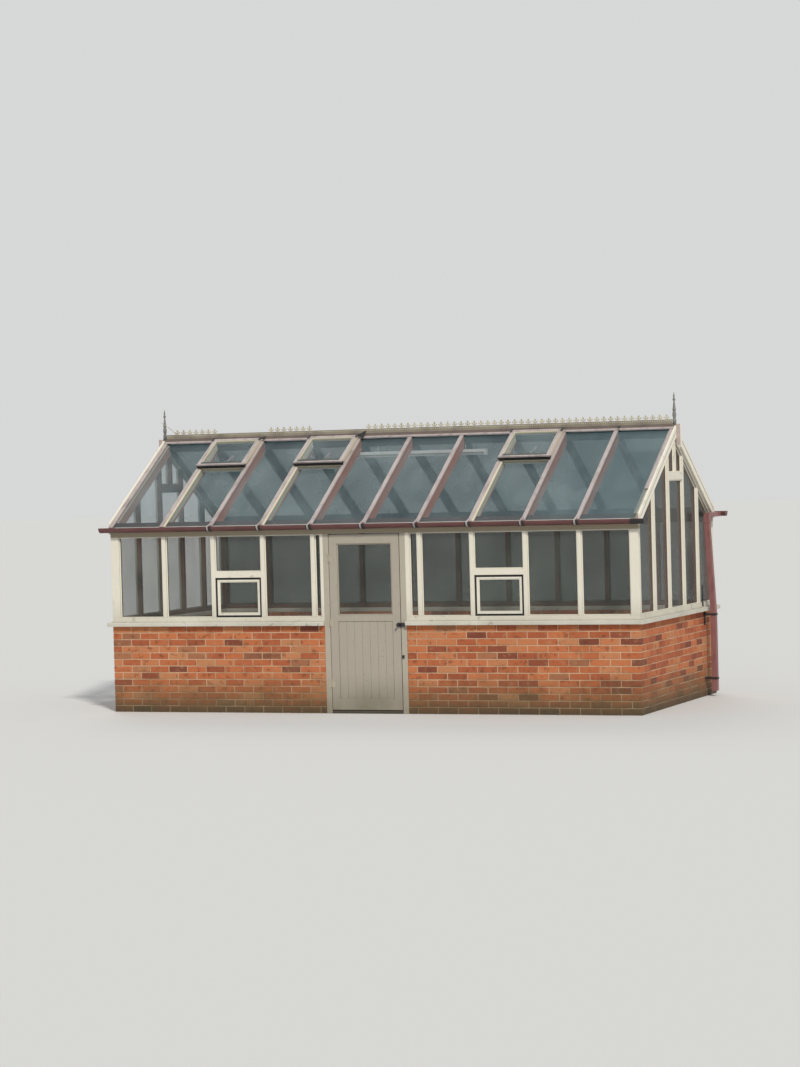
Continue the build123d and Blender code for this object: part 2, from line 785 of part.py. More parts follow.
with BuildPart() as threshold:
    block(jamb_left + jamb_width, jamb_right - jamb_width, -half_depth, -sill_inner_y, 0, threshold_height)
finish(threshold.part, "threshold")


# Door leaf: framed glass above, boarded panel below
glass_opening = (leaf_left + stile_width, leaf_right - stile_width)
with BuildPart() as door_leaf:
    block(leaf_left, leaf_right, -half_depth, -half_depth + leaf_thickness, leaf_bottom, leaf_top)
    middle = (glass_opening[0] + glass_opening[1]) / 2
    opening_width = glass_opening[1] - glass_opening[0]
    leaf_y = -half_depth + leaf_thickness / 2
    glass_foot = mid_rail_bottom + mid_rail_height
    glass_head = leaf_top - top_rail_height
    panel_foot = leaf_bottom + bottom_rail_height
    with Locations((middle, leaf_y, glass_foot)):
        Box(opening_width, leaf_thickness, glass_head - glass_foot, align=BOTTOM, mode=Mode.SUBTRACT)
    with Locations((middle, leaf_y, panel_foot)):
        Box(opening_width, leaf_thickness, mid_rail_bottom - panel_foot, align=BOTTOM, mode=Mode.SUBTRACT)
finish(door_leaf.part, "door_leaf")

with BuildPart() as door_glass:
    y = -half_depth + door_glass_setback
    block(glass_opening[0], glass_opening[1], y, y + glass_thickness, glass_foot, glass_head)
finish(door_glass.part, "door_glass")

with BuildPart() as door_panel:
    y = -half_depth + panel_setback
    block(glass_opening[0], glass_opening[1], y, y + panel_thickness, panel_foot, mid_rail_bottom)
finish(door_panel.part, "door_panel")


# Hinges: two outer knuckles and the pin on the jamb, the middle knuckle on the leaf
knuckle = hinge_length / 3
plate_y = -half_depth - hinge_plate_thickness
plate_edge = knuckle_radius + knuckle_play
tongue_y = pivot_y + knuckle_radius

with BuildPart() as jamb_hinges:
    for z in hinge_heights:
        low = z - hinge_length / 2
        block(pivot_x - hinge_plate_width, pivot_x - plate_edge, plate_y, -half_depth, low, low + hinge_length)
        for foot in (low, low + 2 * knuckle):
            with Locations((pivot_x, pivot_y, foot)):
                Cylinder(knuckle_radius, knuckle, align=BOTTOM)
            block(pivot_x - plate_edge, pivot_x, plate_y, tongue_y, foot, foot + knuckle)
        with Locations((pivot_x, pivot_y, low)):
            Cylinder(pin_radius, hinge_length, align=BOTTOM)
finish(jamb_hinges.part, "jamb_hinges")

with BuildPart() as leaf_hinges:
    for z in hinge_heights:
        low = z - hinge_length / 2
        foot = low + knuckle + knuckle_play
        height = knuckle - 2 * knuckle_play
        block(pivot_x + plate_edge, pivot_x + hinge_plate_width, plate_y, -half_depth, low, low + hinge_length)
        with Locations((pivot_x, pivot_y, foot)):
            Cylinder(knuckle_radius, height, align=BOTTOM)
        block(pivot_x, pivot_x + plate_edge, plate_y, tongue_y, foot, foot + height)
        with Locations((pivot_x, pivot_y, low)):
            Cylinder(pin_radius + pin_play, hinge_length, align=BOTTOM, mode=Mode.SUBTRACT)
finish(leaf_hinges.part, "leaf_hinges")


# Latch on the leaf, keeper and hook eye on the jamb
with BuildPart() as door_latch:
    low = latch_centre - latch_height / 2
    block(leaf_right - latch_width, leaf_right, -half_depth - latch_depth, -half_depth, low, low + latch_height)
    knob = (leaf_right - latch_width / 2, -half_depth - latch_depth, latch_centre)
    with Locations(Location(knob, (90, 0, 0))):
        Cylinder(latch_knob_radius / 2, latch_knob_length, align=BOTTOM)
    tip = (knob[0], knob[1] - latch_knob_length, latch_centre)
    with Locations(tip):
        Sphere(latch_knob_radius)
finish(door_latch.part, "door_latch")

with BuildPart() as jamb_keeper:
    keeper_left = jamb_right - jamb_width
    block(keeper_left, keeper_left + keeper_width, -half_depth - latch_depth, -half_depth, low, low + latch_height)
    hook_left = keeper_left + hook_inset
    block(hook_left, hook_left + hook_width, -half_depth - hook_depth, -half_depth,
          hook_centre - hook_height / 2, hook_centre + hook_height / 2)
finish(jamb_keeper.part, "jamb_keeper")


# Lamp batten on two hangers under the ridge board
lamp_top = ridge_board_top - ridge_board_depth - lamp_hang
with BuildPart() as lamp_batten:
    block(lamp_left, lamp_right, -lamp_width / 2, lamp_width / 2, lamp_top - lamp_height, lamp_top)
    for x in (lamp_left, lamp_right - lamp_end):
        block(x, x + lamp_end, -lamp_width / 2, lamp_width / 2, lamp_top - 2 * lamp_height, lamp_top)
    for x in (lamp_left + lamp_hanger_inset, lamp_right - lamp_hanger_inset):
        with Locations((x, 0, lamp_top)):
            Cylinder(lamp_hanger_radius, lamp_hang, align=BOTTOM)
finish(lamp_batten.part, "lamp_batten")

with BuildPart() as lamp_tube:
    tube_centre = lamp_top - lamp_height - lamp_height / 2
    with Locations(Location((lamp_left + lamp_end, 0, tube_centre), (0, 90, 0))):
        Cylinder(lamp_tube_radius, lamp_right - lamp_left - 2 * lamp_end, align=BOTTOM)
finish(lamp_tube.part, "lamp_tube")
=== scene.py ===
"""Glass greenhouse on a low brick wall: its looks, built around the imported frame."""

import logging
import math
import random
from dataclasses import dataclass
from enum import Enum
from typing import Any, Iterable, Sequence

import bmesh
import bpy
from mathutils import Matrix, Vector


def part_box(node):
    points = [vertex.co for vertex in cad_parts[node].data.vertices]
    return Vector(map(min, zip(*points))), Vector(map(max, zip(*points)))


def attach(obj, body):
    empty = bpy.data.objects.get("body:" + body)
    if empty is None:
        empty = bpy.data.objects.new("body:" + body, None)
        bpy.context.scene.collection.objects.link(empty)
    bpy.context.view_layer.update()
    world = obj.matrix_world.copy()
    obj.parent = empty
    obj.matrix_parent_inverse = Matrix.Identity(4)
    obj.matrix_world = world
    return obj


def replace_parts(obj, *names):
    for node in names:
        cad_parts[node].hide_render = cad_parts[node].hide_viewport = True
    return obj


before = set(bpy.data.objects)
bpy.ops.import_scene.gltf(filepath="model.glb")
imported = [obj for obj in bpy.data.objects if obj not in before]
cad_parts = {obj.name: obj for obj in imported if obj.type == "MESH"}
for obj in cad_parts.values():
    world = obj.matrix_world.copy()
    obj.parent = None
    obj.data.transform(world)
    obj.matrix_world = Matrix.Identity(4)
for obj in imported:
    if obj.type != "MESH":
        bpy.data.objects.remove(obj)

Colour = tuple[float, float, float, float]
Point = Sequence[float]
LOG = logging.getLogger("greenhouse")
WELD = 0.00002
FLAT = math.radians(1.0)
ROOF_PITCH = math.radians(32.5)


def tone(red: int, green: int, blue: int) -> Colour:
    """Turn a display colour into a linear one.

    Args:
        red: Red, 0 to 255.
        green: Green, 0 to 255.
        blue: Blue, 0 to 255.

    Returns:
        The linear colour, with full alpha.
    """
    shares = (channel / 255 for channel in (red, green, blue))
    return (*(s / 12.92 if s <= 0.04 else ((s + 0.055) / 1.055) ** 2.4 for s in shares), 1.0)


LOW_DIRT = tone(92, 88, 66)
WORN_PAINT = tone(128, 108, 88)
BARE_WOOD = tone(150, 144, 132)
BRICK_REDS = [(0.0, tone(122, 64, 46)), (0.12, tone(168, 88, 54)), (0.5, tone(186, 104, 62)),
              (0.74, tone(196, 116, 72)), (0.93, tone(192, 130, 88)), (1.0, tone(118, 68, 50))]
LIME_BLOOM = tone(182, 142, 104)
SOOT = tone(98, 54, 40)
MOSS = tone(92, 82, 52)
WET_MOSS = tone(58, 56, 42)
PALE_LIME = tone(204, 172, 140)
DARK_LIME = tone(176, 146, 114)
LIME_MOSS = tone(92, 84, 58)
CREAM = tone(228, 222, 206)
# The cream paint made paler as painted sunlight, for the bargeboards and the sides of the drop posts.
SUNLIT_CREAM = tone(238, 233, 216)
PLUM_STAIN = tone(112, 70, 62)


class Axis(Enum):
    """Direction that the grain of a timber runs in, as the noise's scale along each axis."""

    X = (1.0, 14.0, 14.0)
    Y = (14.0, 1.0, 14.0)
    Z = (14.0, 14.0, 1.0)
    ANY = (5.0, 5.0, 5.0)


class Body(Enum):
    """Bodies of the frame that pieces ride on."""

    HOUSE = "house"
    DOOR = "door"


class Wire:
    """A shader socket that can stand in sums."""

    def __init__(self, bench: "Bench", socket: bpy.types.NodeSocket) -> None:
        """Keep the socket and the bench that it is on."""
        self.bench = bench
        self.socket = socket

    def math(self, operation: str, *others: Any) -> "Wire":
        """Return this value joined with others by a Math node."""
        return self.bench.math(operation, self, *others)

    def __add__(self, other: Any) -> "Wire":
        """Return the sum."""
        return self.math("ADD", other)

    def __radd__(self, other: Any) -> "Wire":
        """Return the sum."""
        return self.math("ADD", other)

    def __sub__(self, other: Any) -> "Wire":
        """Return the difference."""
        return self.math("SUBTRACT", other)

    def __rsub__(self, other: Any) -> "Wire":
        """Return the difference the other way round."""
        return self.bench.math("SUBTRACT", other, self)

    def __mul__(self, other: Any) -> "Wire":
        """Return the product."""
        return self.math("MULTIPLY", other)

    def __rmul__(self, other: Any) -> "Wire":
        """Return the product."""
        return self.math("MULTIPLY", other)

    def clamp(self) -> "Wire":
        """Return the value held between 0 and 1."""
        return self.bench.node("ShaderNodeClamp", {}, {"Value": self}, "Result")

    def ease(self, low: float, high: float) -> "Wire":
        """Return 0 at low, 1 at high and a smooth step between, also where low is the larger."""
        inputs = {"Value": self, "From Min": low, "From Max": high, "To Min": 0.0, "To Max": 1.0}
        return self.bench.node("ShaderNodeMapRange", {"interpolation_type": "SMOOTHSTEP"}, inputs, "Result")


class Bench:
    """The node tree of a material or of the world, and its shader."""

    def __init__(self, owner: bpy.types.ID, shader: str = "BSDF_PRINCIPLED") -> None:
        """Turn on the owner's nodes.

        Args:
            owner: The material or world.
            shader: The type of its shader.
        """
        owner.use_nodes = True
        self.tree = owner.node_tree
        self.shader = next(n for n in self.tree.nodes if n.type == shader)

    @staticmethod
    def find(sockets: Any, key: int | str) -> bpy.types.NodeSocket:
        """Find a socket of a node.

        Args:
            sockets: The node's inputs or outputs.
            key: The socket's number, identifier or name.

        Returns:
            The socket.
        """
        if isinstance(key, int):
            return sockets[key]
        return next((s for s in sockets if s.identifier == key), None) or sockets[key]

    def node(self, kind: str, settings: dict[str, Any], inputs: dict[Any, Any], output: int | str) -> Wire:
        """Add a node.

        Args:
            kind: The node's type.
            settings: Its settings, and a ramp's stops.
            inputs: Values or wires by socket.
            output: The socket to return.

        Returns:
            The output as a wire.
        """
        made = self.tree.nodes.new(kind)
        for key, value in settings.items():
            if key == "stops":
                ramp = made.color_ramp
                ramp.elements[0].position, ramp.elements[0].color = value[0]
                ramp.elements[1].position, ramp.elements[1].color = value[-1]
                for place, colour in value[1:-1]:
                    ramp.elements.new(place).color = colour
            else:
                setattr(made, key, value)
        for key, value in inputs.items():
            self.feed(self.find(made.inputs, key), value)
        return Wire(self, self.find(made.outputs, output))

    def feed(self, socket: bpy.types.NodeSocket, value: Any) -> None:
        """Link a wire to a socket, or set its value.

        Args:
            socket: The socket.
            value: A wire, a number or a colour.
        """
        if isinstance(value, Wire):
            self.tree.links.new(value.socket, socket)
        else:
            socket.default_value = value

    def set(self, **values: Any) -> None:
        """Set or link sockets of the shader, with _ for a space in their names."""
        for name, value in values.items():
            self.feed(self.shader.inputs[name.replace("_", " ")], value)

    def math(self, operation: str, *values: Any) -> Wire:
        """Return values joined by a Math node."""
        return self.node("ShaderNodeMath", {"operation": operation}, dict(enumerate(values)), 0)

    def place(self, scale: Point | None = None) -> Wire:
        """Find the point on the piece.

        Args:
            scale: How far to stretch it along each axis.

        Returns:
            The point as a wire.
        """
        here = self.node("ShaderNodeTexCoord", {}, {}, "Object")
        if scale is None:
            return here
        inputs = {0: here, 1: tuple(scale)}
        return self.node("ShaderNodeVectorMath", {"operation": "MULTIPLY"}, inputs, "Vector")

    def part(self, letter: str) -> Wire:
        """Return one coordinate of the point on the piece."""
        return self.node("ShaderNodeSeparateXYZ", {}, {"Vector": self.place()}, letter)

    def noise(self, scale: float, detail: float = 3.0, stretch: Point | None = None,
              roughness: float = 0.55) -> Wire:
        """Make cloudy noise around one half.

        Args:
            scale: Its fineness.
            detail: Its octaves.
            stretch: Scale along each axis.
            roughness: Weight of its fine octaves.

        Returns:
            The noise as a wire.
        """
        inputs = {"Vector": self.place(stretch), "Scale": scale, "Detail": detail, "Roughness": roughness}
        return self.node("ShaderNodeTexNoise", {}, inputs, "Fac")

    def blend(self, share: Any, first: Any, second: Any) -> Wire:
        """Return a colour between two, where share 0 is the first."""
        inputs = {"Factor_Float": share, "A_Color": first, "B_Color": second}
        return self.node("ShaderNodeMix", {"data_type": "RGBA"}, inputs, "Result_Color")

    def shade(self, colour: Any, light: Any) -> Wire:
        """Return a colour times a light and dark value."""
        grey = self.node("ShaderNodeCombineXYZ", {}, dict.fromkeys("XYZ", light), "Vector")
        return self.node("ShaderNodeVectorMath", {"operation": "MULTIPLY"}, {0: colour, 1: grey}, "Vector")

    def bump(self, height: Wire, distance: float, strength: float) -> None:
        """Give the shader a bumpy surface, of a height in metres and a strength of 0 to 1."""
        inputs = {"Height": height, "Distance": distance, "Strength": strength}
        self.set(Normal=self.node("ShaderNodeBump", {}, inputs, "Normal"))


@dataclass(frozen=True)
class Finish:
    """A surface finish.

    Attributes:
        name: Its material's name, which no slot of the record has.
    """

    name: str

    def material(self) -> bpy.types.Material:
        """Find or make the material.

        Returns:
            The finish's material, made on its first use.
        """
        known = bpy.data.materials.get(self.name)
        if known:
            return known
        made = bpy.data.materials.new(self.name)
        self.paint(Bench(made))
        return made

    def paint(self, bench: Bench) -> None:
        """Fill the bench's tree.

        Args:
            bench: The material's bench.
        """
        raise NotImplementedError


@dataclass(frozen=True)
class Timber(Finish):
    """Painted or stained wood.

    Attributes:
        face: Its colour.
        inner: Colour of its inner side, nearer the middle than face_x and face_y.
        back: Colour of its inner side on the back half of the house; the rafters' darker one there is
            painted shade.
        grain: Direction of its grain.
        gloss: Least roughness.
        grime: Share of dirt.
        peel: Share of peeled paint.
        face_x: From the middle to just inside the outer face of the ends.
        face_y: The same for the front and the back.
        foot: Height up to which the dirt is thickest.
        reach: From there up to where it ends.
    """

    face: Colour
    inner: Colour | None = None
    back: Colour | None = None
    grain: Axis = Axis.ANY
    gloss: float = 0.55
    grime: float = 0.35
    peel: float = 0.25
    face_x: float = 3.041
    face_y: float = 1.419
    foot: float = 1.02
    reach: float = 0.28

    def paint(self, bench: Bench) -> None:
        """Fill the bench's tree.

        Args:
            bench: The material's bench.
        """
        grain = bench.noise(9.0, 4.0, self.grain.value, 0.6)
        cloud = bench.noise(2.3)
        fleck = bench.noise(46.0, 2.0)
        flake = bench.noise(17.0, 5.0, [0.35 + 0.05 * v for v in self.grain.value], 0.7).ease(0.60, 0.66)
        low = bench.part("Z").ease(self.foot + self.reach, self.foot) * cloud
        worn = fleck.ease(0.66, 0.74) * cloud.ease(0.45, 0.7) * self.grime
        mixed = bench.blend(low * self.grime, self.sides(bench), LOW_DIRT)
        mixed = bench.blend(worn, mixed, WORN_PAINT)
        mixed = bench.blend((flake * self.peel).clamp(), mixed, BARE_WOOD)
        bench.set(Base_Color=bench.shade(mixed, 0.86 + 0.16 * grain + 0.12 * cloud))
        bench.set(Roughness=(self.gloss + 0.25 * cloud).clamp())
        bench.bump(grain + 0.5 * fleck - self.peel * flake, 0.0012, 0.6)

    def sides(self, bench: Bench) -> Any:
        """Tell the outer side of the wood from the inner.

        Args:
            bench: The material's bench.

        Returns:
            The clean wood's colour.
        """
        if self.inner is None:
            return self.face
        half_step = 0.0005
        deep = bench.part("Y").math("ABSOLUTE").ease(self.face_y - half_step, self.face_y + half_step)
        side = bench.part("X").math("ABSOLUTE").ease(self.face_x - half_step, self.face_x + half_step)
        inner: Any = self.inner
        # Behind the middle the inner side takes the back colour, which on the rafters is painted shade.
        if self.back is not None:
            inner = bench.blend(bench.part("Y").ease(-0.02, 0.02), self.inner, self.back)
        return bench.blend(deep.math("MAXIMUM", side), inner, self.face)


@dataclass(frozen=True)
class Brick(Finish):
    """Red brick, each brick with its own tone, mossy near the ground."""

    def paint(self, bench: Bench) -> None:
        """Fill the bench's tree.

        Args:
            bench: The material's bench.
        """
        own = bench.node("ShaderNodeAttribute", {"attribute_name": "brick_tone"}, {}, "Fac")
        red = bench.node("ShaderNodeValToRGB", {"stops": BRICK_REDS}, {"Fac": own}, "Color")
        cloud = bench.noise(3.2, 4.0)
        grit = bench.noise(95.0, roughness=0.7)
        crust = bench.noise(15.0, 5.0, roughness=0.65)
        height = bench.part("Z")
        damp = (height.ease(0.56, 0.04) + 0.9 * cloud - 0.55).clamp()
        red = bench.blend(crust.ease(0.54, 0.72) * 0.5, red, LIME_BLOOM)
        red = bench.blend(crust.ease(0.46, 0.34) * 0.55, red, SOOT)
        red = bench.blend(damp * 0.8, red, MOSS)
        red = bench.blend(height.ease(0.18, 0.0) * 0.7, red, WET_MOSS)
        bench.set(Base_Color=bench.shade(red, 0.84 + 0.3 * grit), Roughness=0.88)
        bench.bump(grit + 1.4 * crust, 0.0035, 0.8)


@dataclass(frozen=True)
class Mortar(Finish):
    """Pale lime mortar with dirt in it."""

    def paint(self, bench: Bench) -> None:
        """Fill the bench's tree.

        Args:
            bench: The material's bench.
        """
        cloud = bench.noise(4.0, 4.0)
        grit = bench.noise(160.0, 2.0)
        lime = bench.blend(cloud.ease(0.35, 0.7), PALE_LIME, DARK_LIME)
        damp = (bench.part("Z").ease(0.5, 0.02) + cloud - 0.5).clamp()
        mixed = bench.blend(damp * 0.75, lime, LIME_MOSS)
        bench.set(Base_Color=bench.shade(mixed, 0.82 + 0.32 * grit), Roughness=0.92)
        bench.bump(grit, 0.002, 0.7)


@dataclass(frozen=True)
class Pane(Finish):
    """Glass with a film of dust.

    Attributes:
        tint: Colour of the clear glass; on the walls, gables and door it is darkened as painted shade of
            the room behind.
        film: Colour of the dust.
        clear: Alpha where the film is thin.
        dull: Alpha where it is thick.
        back: What the back half of the house adds to the alpha.
        right: What the right end adds.
        fall: Stretch of the streaks, small along the way that water runs.
    """

    tint: Colour
    film: Colour
    clear: float
    dull: float
    back: float = 0.0
    right: float = 0.0
    fall: tuple[float, float, float] = (1.0, 1.0, 0.25)

    def paint(self, bench: Bench) -> None:
        """Fill the bench's tree.

        Args:
            bench: The material's bench.
        """
        streak = bench.noise(6.0, 4.0, self.fall, 0.6)
        film = (0.35 * streak + 0.65 * bench.noise(1.7)).ease(0.2, 0.85)
        alpha = self.clear + (self.dull - self.clear) * film
        if self.back:
            alpha = alpha + bench.part("Y").ease(-0.02, 0.02) * self.back
        if self.right:
            alpha = alpha + bench.part("X").ease(1.0, 2.7) * self.right
        bench.set(Base_Color=bench.blend(film, self.tint, self.film), Alpha=alpha.clamp())
        bench.set(Roughness=0.08 + 0.2 * film, IOR=1.52, Specular_IOR_Level=0.5)


@dataclass(frozen=True)
class Metal(Finish):
    """Painted or weathered metal, plastic or rubber.

    Attributes:
        colour: Its colour.
        second: Colour of its mottled dirt.
        gloss: Least roughness.
        streak: Stretch of the dirt along each axis.
    """

    colour: Colour
    second: Colour
    gloss: float = 0.45
    streak: tuple[float, float, float] | None = None

    def paint(self, bench: Bench) -> None:
        """Fill the bench's tree.

        Args:
            bench: The material's bench.
        """
        cloud = bench.noise(5.0, 4.0, self.streak)
        fleck = bench.noise(70.0, 2.0)
        mixed = bench.blend((cloud.ease(0.42, 0.72) * 0.8).clamp(), self.colour, self.second)
        bench.set(Base_Color=bench.shade(mixed, 0.88 + 0.24 * fleck))
        bench.set(Roughness=(self.gloss + 0.3 * cloud - 0.1).clamp())
        bench.bump(fleck + cloud, 0.0006, 0.5)


@dataclass(frozen=True)
class Ground(Finish):
    """Plain pale studio floor."""

    def paint(self, bench: Bench) -> None:
        """Fill the bench's tree."""
        bench.set(Base_Color=(0.72, 0.72, 0.71, 1.0), Roughness=0.95, Specular_IOR_Level=0.1)


POST_PAINT = Timber("post_paint", CREAM, PLUM_STAIN, grain=Axis.Z)
RAIL_PAINT = Timber("rail_paint", CREAM, PLUM_STAIN, peel=0.6)
SILL_PAINT = Timber("sill_paint", tone(230, 226, 212), grime=0.6, peel=0.75)
# Bargeboards: paler cream as painted sunlight.
GABLE_SUNLIT_PAINT = Timber("gable_sunlit_paint", SUNLIT_CREAM, grime=0.15)
SASH_PAINT = Timber("sash_paint", tone(230, 225, 210), grime=0.25)
VENT_PAINT = Timber("vent_paint", tone(222, 212, 186), grime=0.2)
# Rafters: the bright orange inner side on the front half is painted sunlight on their flanks, the dark plum
# one on the back half is painted shade; the grey beige is the verges' paint.
RAFTER_STAIN_LIT_AND_SHADED = Timber("rafter_stain_lit_and_shaded", tone(180, 174, 162), tone(190, 112, 84), tone(84, 60, 64), Axis.Y,
                      grime=0.0, peel=0.0, face_x=3.002, face_y=9.0)
# Ridge board: plum stain darkened as painted shade under the capping; also on the linings at the vents'
# heads.
RIDGE_STAIN_AND_SHADE = Timber("ridge_stain_and_shade", tone(50, 32, 40), grain=Axis.X, grime=0.0, peel=0.0)
DOOR_PAINT = Timber("aged_door_paint", tone(170, 162, 148), grain=Axis.Z, grime=1.0, foot=0.0, reach=0.5)
JAMB_PAINT = Timber("jamb_paint", tone(178, 170, 154), PLUM_STAIN, grain=Axis.Z, grime=1.0, foot=0.0,
                    reach=0.5)
# Eaves beams: the taupe face is the cream paint darkened as painted shade under the gutter.
BEAM_SHADED_PAINT = Timber("beam_shaded_paint", tone(160, 148, 126), tone(70, 50, 50), grain=Axis.X, face_y=1.449)
# Drop posts: pinkish beige front and back, with the sides in the paler cream of painted sunlight.
POST_END_SUNLIT_SIDES = Timber("post_end_sunlit_sides", tone(182, 166, 162), SUNLIT_CREAM, grain=Axis.Z, grime=0.1,
                        face_x=9.0, face_y=0.0245)
STEP_WOOD = Timber("step_wood", tone(64, 54, 46), grain=Axis.X)
RED_BRICK = Brick("red_brick")
LIME_MORTAR = Mortar("lime_mortar")
ROOF_PANE = Pane("roof_pane", tone(94, 124, 132), tone(130, 156, 160), clear=0.15, dull=0.30, back=0.42,
                 right=0.10, fall=(1.0, 0.2, 0.3))
# Wall, door and gable glass: dark grey-green tint as painted shade of the dark room behind.
WALL_PANE_SHADED = Pane("wall_pane_shaded", tone(50, 62, 58), tone(104, 112, 104), clear=0.20, dull=0.32, back=0.44)
GABLE_PANE_SHADED = Pane("gable_pane_shaded", tone(60, 70, 66), tone(110, 118, 108), clear=0.18, dull=0.32)
CAP_METAL = Metal("cap_metal", tone(184, 172, 169), tone(148, 136, 134), 0.5, (3.0, 1.0, 1.0))
RIDGE_METAL = Metal("ridge_metal", tone(112, 100, 92), tone(88, 78, 74), 0.55)
STRIP_METAL = Metal("strip_metal", tone(150, 142, 127), tone(118, 110, 99), 0.6)
CREST_METAL = Metal("crest_metal", tone(196, 188, 160), tone(160, 150, 126), 0.55)
FINIAL_METAL = Metal("finial_metal", tone(124, 124, 116), tone(86, 88, 82), 0.5)
GUTTER_METAL = Metal("gutter_metal", tone(104, 64, 62), tone(82, 50, 50), 0.42, (1.0, 4.0, 4.0))
# Downpipe, outlet and socket: the gutters' plum paint made lighter as painted sunlight.
PIPE_METAL_SUNLIT = Metal("pipe_metal_sunlit", tone(140, 94, 92), tone(112, 70, 70), 0.42, (4.0, 4.0, 1.0))
BLACK_METAL = Metal("black_metal", tone(34, 33, 33), tone(52, 50, 48))
HINGE_PAINT = Metal("aged_hinge_paint", tone(178, 170, 152), tone(150, 138, 118), 0.5)
# Drip strips: near-white, partly a painted glint along the foot of the roof glass.
DRIP_PAINT_AND_GLINT = Metal("drip_paint_and_glint", tone(226, 224, 218), tone(196, 192, 184), 0.5)
DARK_LEAD = Metal("dark_lead", tone(58, 66, 62), tone(44, 48, 46), 0.5)
# Black rubber that also stands as painted shadow in the gaps round the wall vents' sashes and under the
# roof vents' lower edges.
SEAL_RUBBER_AND_SHADOW = Metal("seal_rubber_and_shadow", tone(22, 22, 22), tone(34, 33, 31), 0.6)
LAMP_WHITE = Metal("lamp_enamel", tone(236, 238, 236), tone(214, 218, 216), 0.4)


class Work:
    """A mesh in the making, with the calls that pieces are built from."""

    def __init__(self) -> None:
        """Start with an empty mesh."""
        self.mesh = bmesh.new()

    def take(self, node: str) -> None:
        """Copy a node's mesh, with its corners merged and its flat faces whole.

        Args:
            node: The node's name.
        """
        mesh = self.mesh
        mesh.from_mesh(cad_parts[node].data)
        bmesh.ops.remove_doubles(mesh, verts=mesh.verts[:], dist=WELD)
        bmesh.ops.dissolve_limit(mesh, angle_limit=FLAT, use_dissolve_boundaries=False,
                                 verts=mesh.verts[:], edges=mesh.edges[:])

    def block(self, low: Point, high: Point, turn: Matrix | None = None,
              origin: Point = (0.0, 0.0, 0.0)) -> list[bmesh.types.BMVert]:
        """Add a box between two corners.

        Args:
            low: Its lowest corner.
            high: Its highest corner.
            turn: A turn that both corners are given in.
            origin: The point that the corners are measured from.

        Returns:
            The box's vertices.
        """
        a, b = Vector(low), Vector(high)
        size = Matrix.Diagonal((*(b - a), 1.0))
        place = Matrix.Translation(origin) @ (turn or Matrix.Identity(4)) @ Matrix.Translation((a + b) / 2)
        return bmesh.ops.create_cube(self.mesh, size=1.0, matrix=place @ size)["verts"]

    def border(self, low: Point, high: Point, width: float) -> None:
        """Add four bars inside the edge of an upright oblong that faces along Y.

        Args:
            low: Its lowest corner.
            high: Its highest corner.
            width: Width of the bars.
        """
        left, right = low[0] + width, high[0] - width
        self.block(low, (left, high[1], high[2]))
        self.block((right, low[1], low[2]), high)
        self.block((left, low[1], low[2]), (right, high[1], low[2] + width))
        self.block((left, low[1], high[2] - width), (right, high[1], high[2]))

    def rod(self, start: Point, end: Point, radius: float, sides: int = 10) -> None:
        """Add a round bar.

        Args:
            start: Middle of one end.
            end: Middle of the other end.
            radius: Its radius.
            sides: Number of its sides.
        """
        a, b = Vector(start), Vector(end)
        turn = (b - a).to_track_quat("Z", "Y").to_matrix().to_4x4()
        bmesh.ops.create_cone(self.mesh, cap_ends=True, segments=sides, radius1=radius, radius2=radius,
                              depth=(b - a).length, matrix=Matrix.Translation((a + b) / 2) @ turn)

    def dome(self, centre: Point, size: Point, turn: Matrix | None = None, sides: int = 8) -> None:
        """Add a flattened ball, such as a screw head or a bead.

        Args:
            centre: Its middle.
            size: Its radius along each axis.
            turn: A turn of those axes.
            sides: Number of its sides.
        """
        place = Matrix.Translation(centre) @ (turn or Matrix.Identity(4)) @ Matrix.Diagonal((*size, 1.0))
        bmesh.ops.create_uvsphere(self.mesh, u_segments=sides, v_segments=4, radius=1.0, matrix=place)

    def plate(self, outline: Sequence[tuple[float, float]], thickness: float, place: Matrix) -> None:
        """Add a flat plate.

        Args:
            outline: Its corners in X and Z.
            thickness: Its thickness along Y, half on each side.
            place: Where it goes.
        """
        corners = [self.mesh.verts.new((x, -thickness / 2, z)) for x, z in outline]
        face = self.mesh.faces.new(corners)
        grown = bmesh.ops.extrude_face_region(self.mesh, geom=[face])["geom"]
        back = [g for g in grown if isinstance(g, bmesh.types.BMVert)]
        bmesh.ops.translate(self.mesh, verts=back, vec=(0, thickness, 0))
        bmesh.ops.transform(self.mesh, matrix=place, verts=corners + back)

    def turned(self, profile: Sequence[tuple[float, float]], place: Matrix, steps: int = 24) -> None:
        """Add a turned shape.

        Args:
            profile: Pairs of radius and height.
            place: Where it goes.
            steps: Number of its sides.
        """
        known = set(self.mesh.verts)
        ring = [self.mesh.verts.new((r, 0.0, z)) for r, z in profile]
        edges = [self.mesh.edges.new(pair) for pair in zip(ring, ring[1:])]
        bmesh.ops.spin(self.mesh, geom=ring + edges, cent=(0, 0, 0), axis=(0, 0, 1), angle=math.tau,
                       steps=steps, use_merge=True)
        fresh = [v for v in self.mesh.verts if v not in known]
        bmesh.ops.remove_doubles(self.mesh, verts=fresh, dist=WELD / 2)
        fresh = [v for v in self.mesh.verts if v not in known]
        bmesh.ops.transform(self.mesh, matrix=place, verts=fresh)

    def ease_edges(self, width: float, segments: int = 2) -> None:
        """Round off every edge sharper than 25 degrees.

        Args:
            width: Width of the rounding.
            segments: Number of faces across it.
        """
        least = math.radians(25.0)
        sharp = [e for e in self.mesh.edges if e.is_manifold and e.calc_face_angle(0.0) > least]
        bmesh.ops.bevel(self.mesh, geom=sharp, offset=width, offset_type="OFFSET", affect="EDGES",
                        segments=segments, profile=0.5, material=-1, clamp_overlap=True)

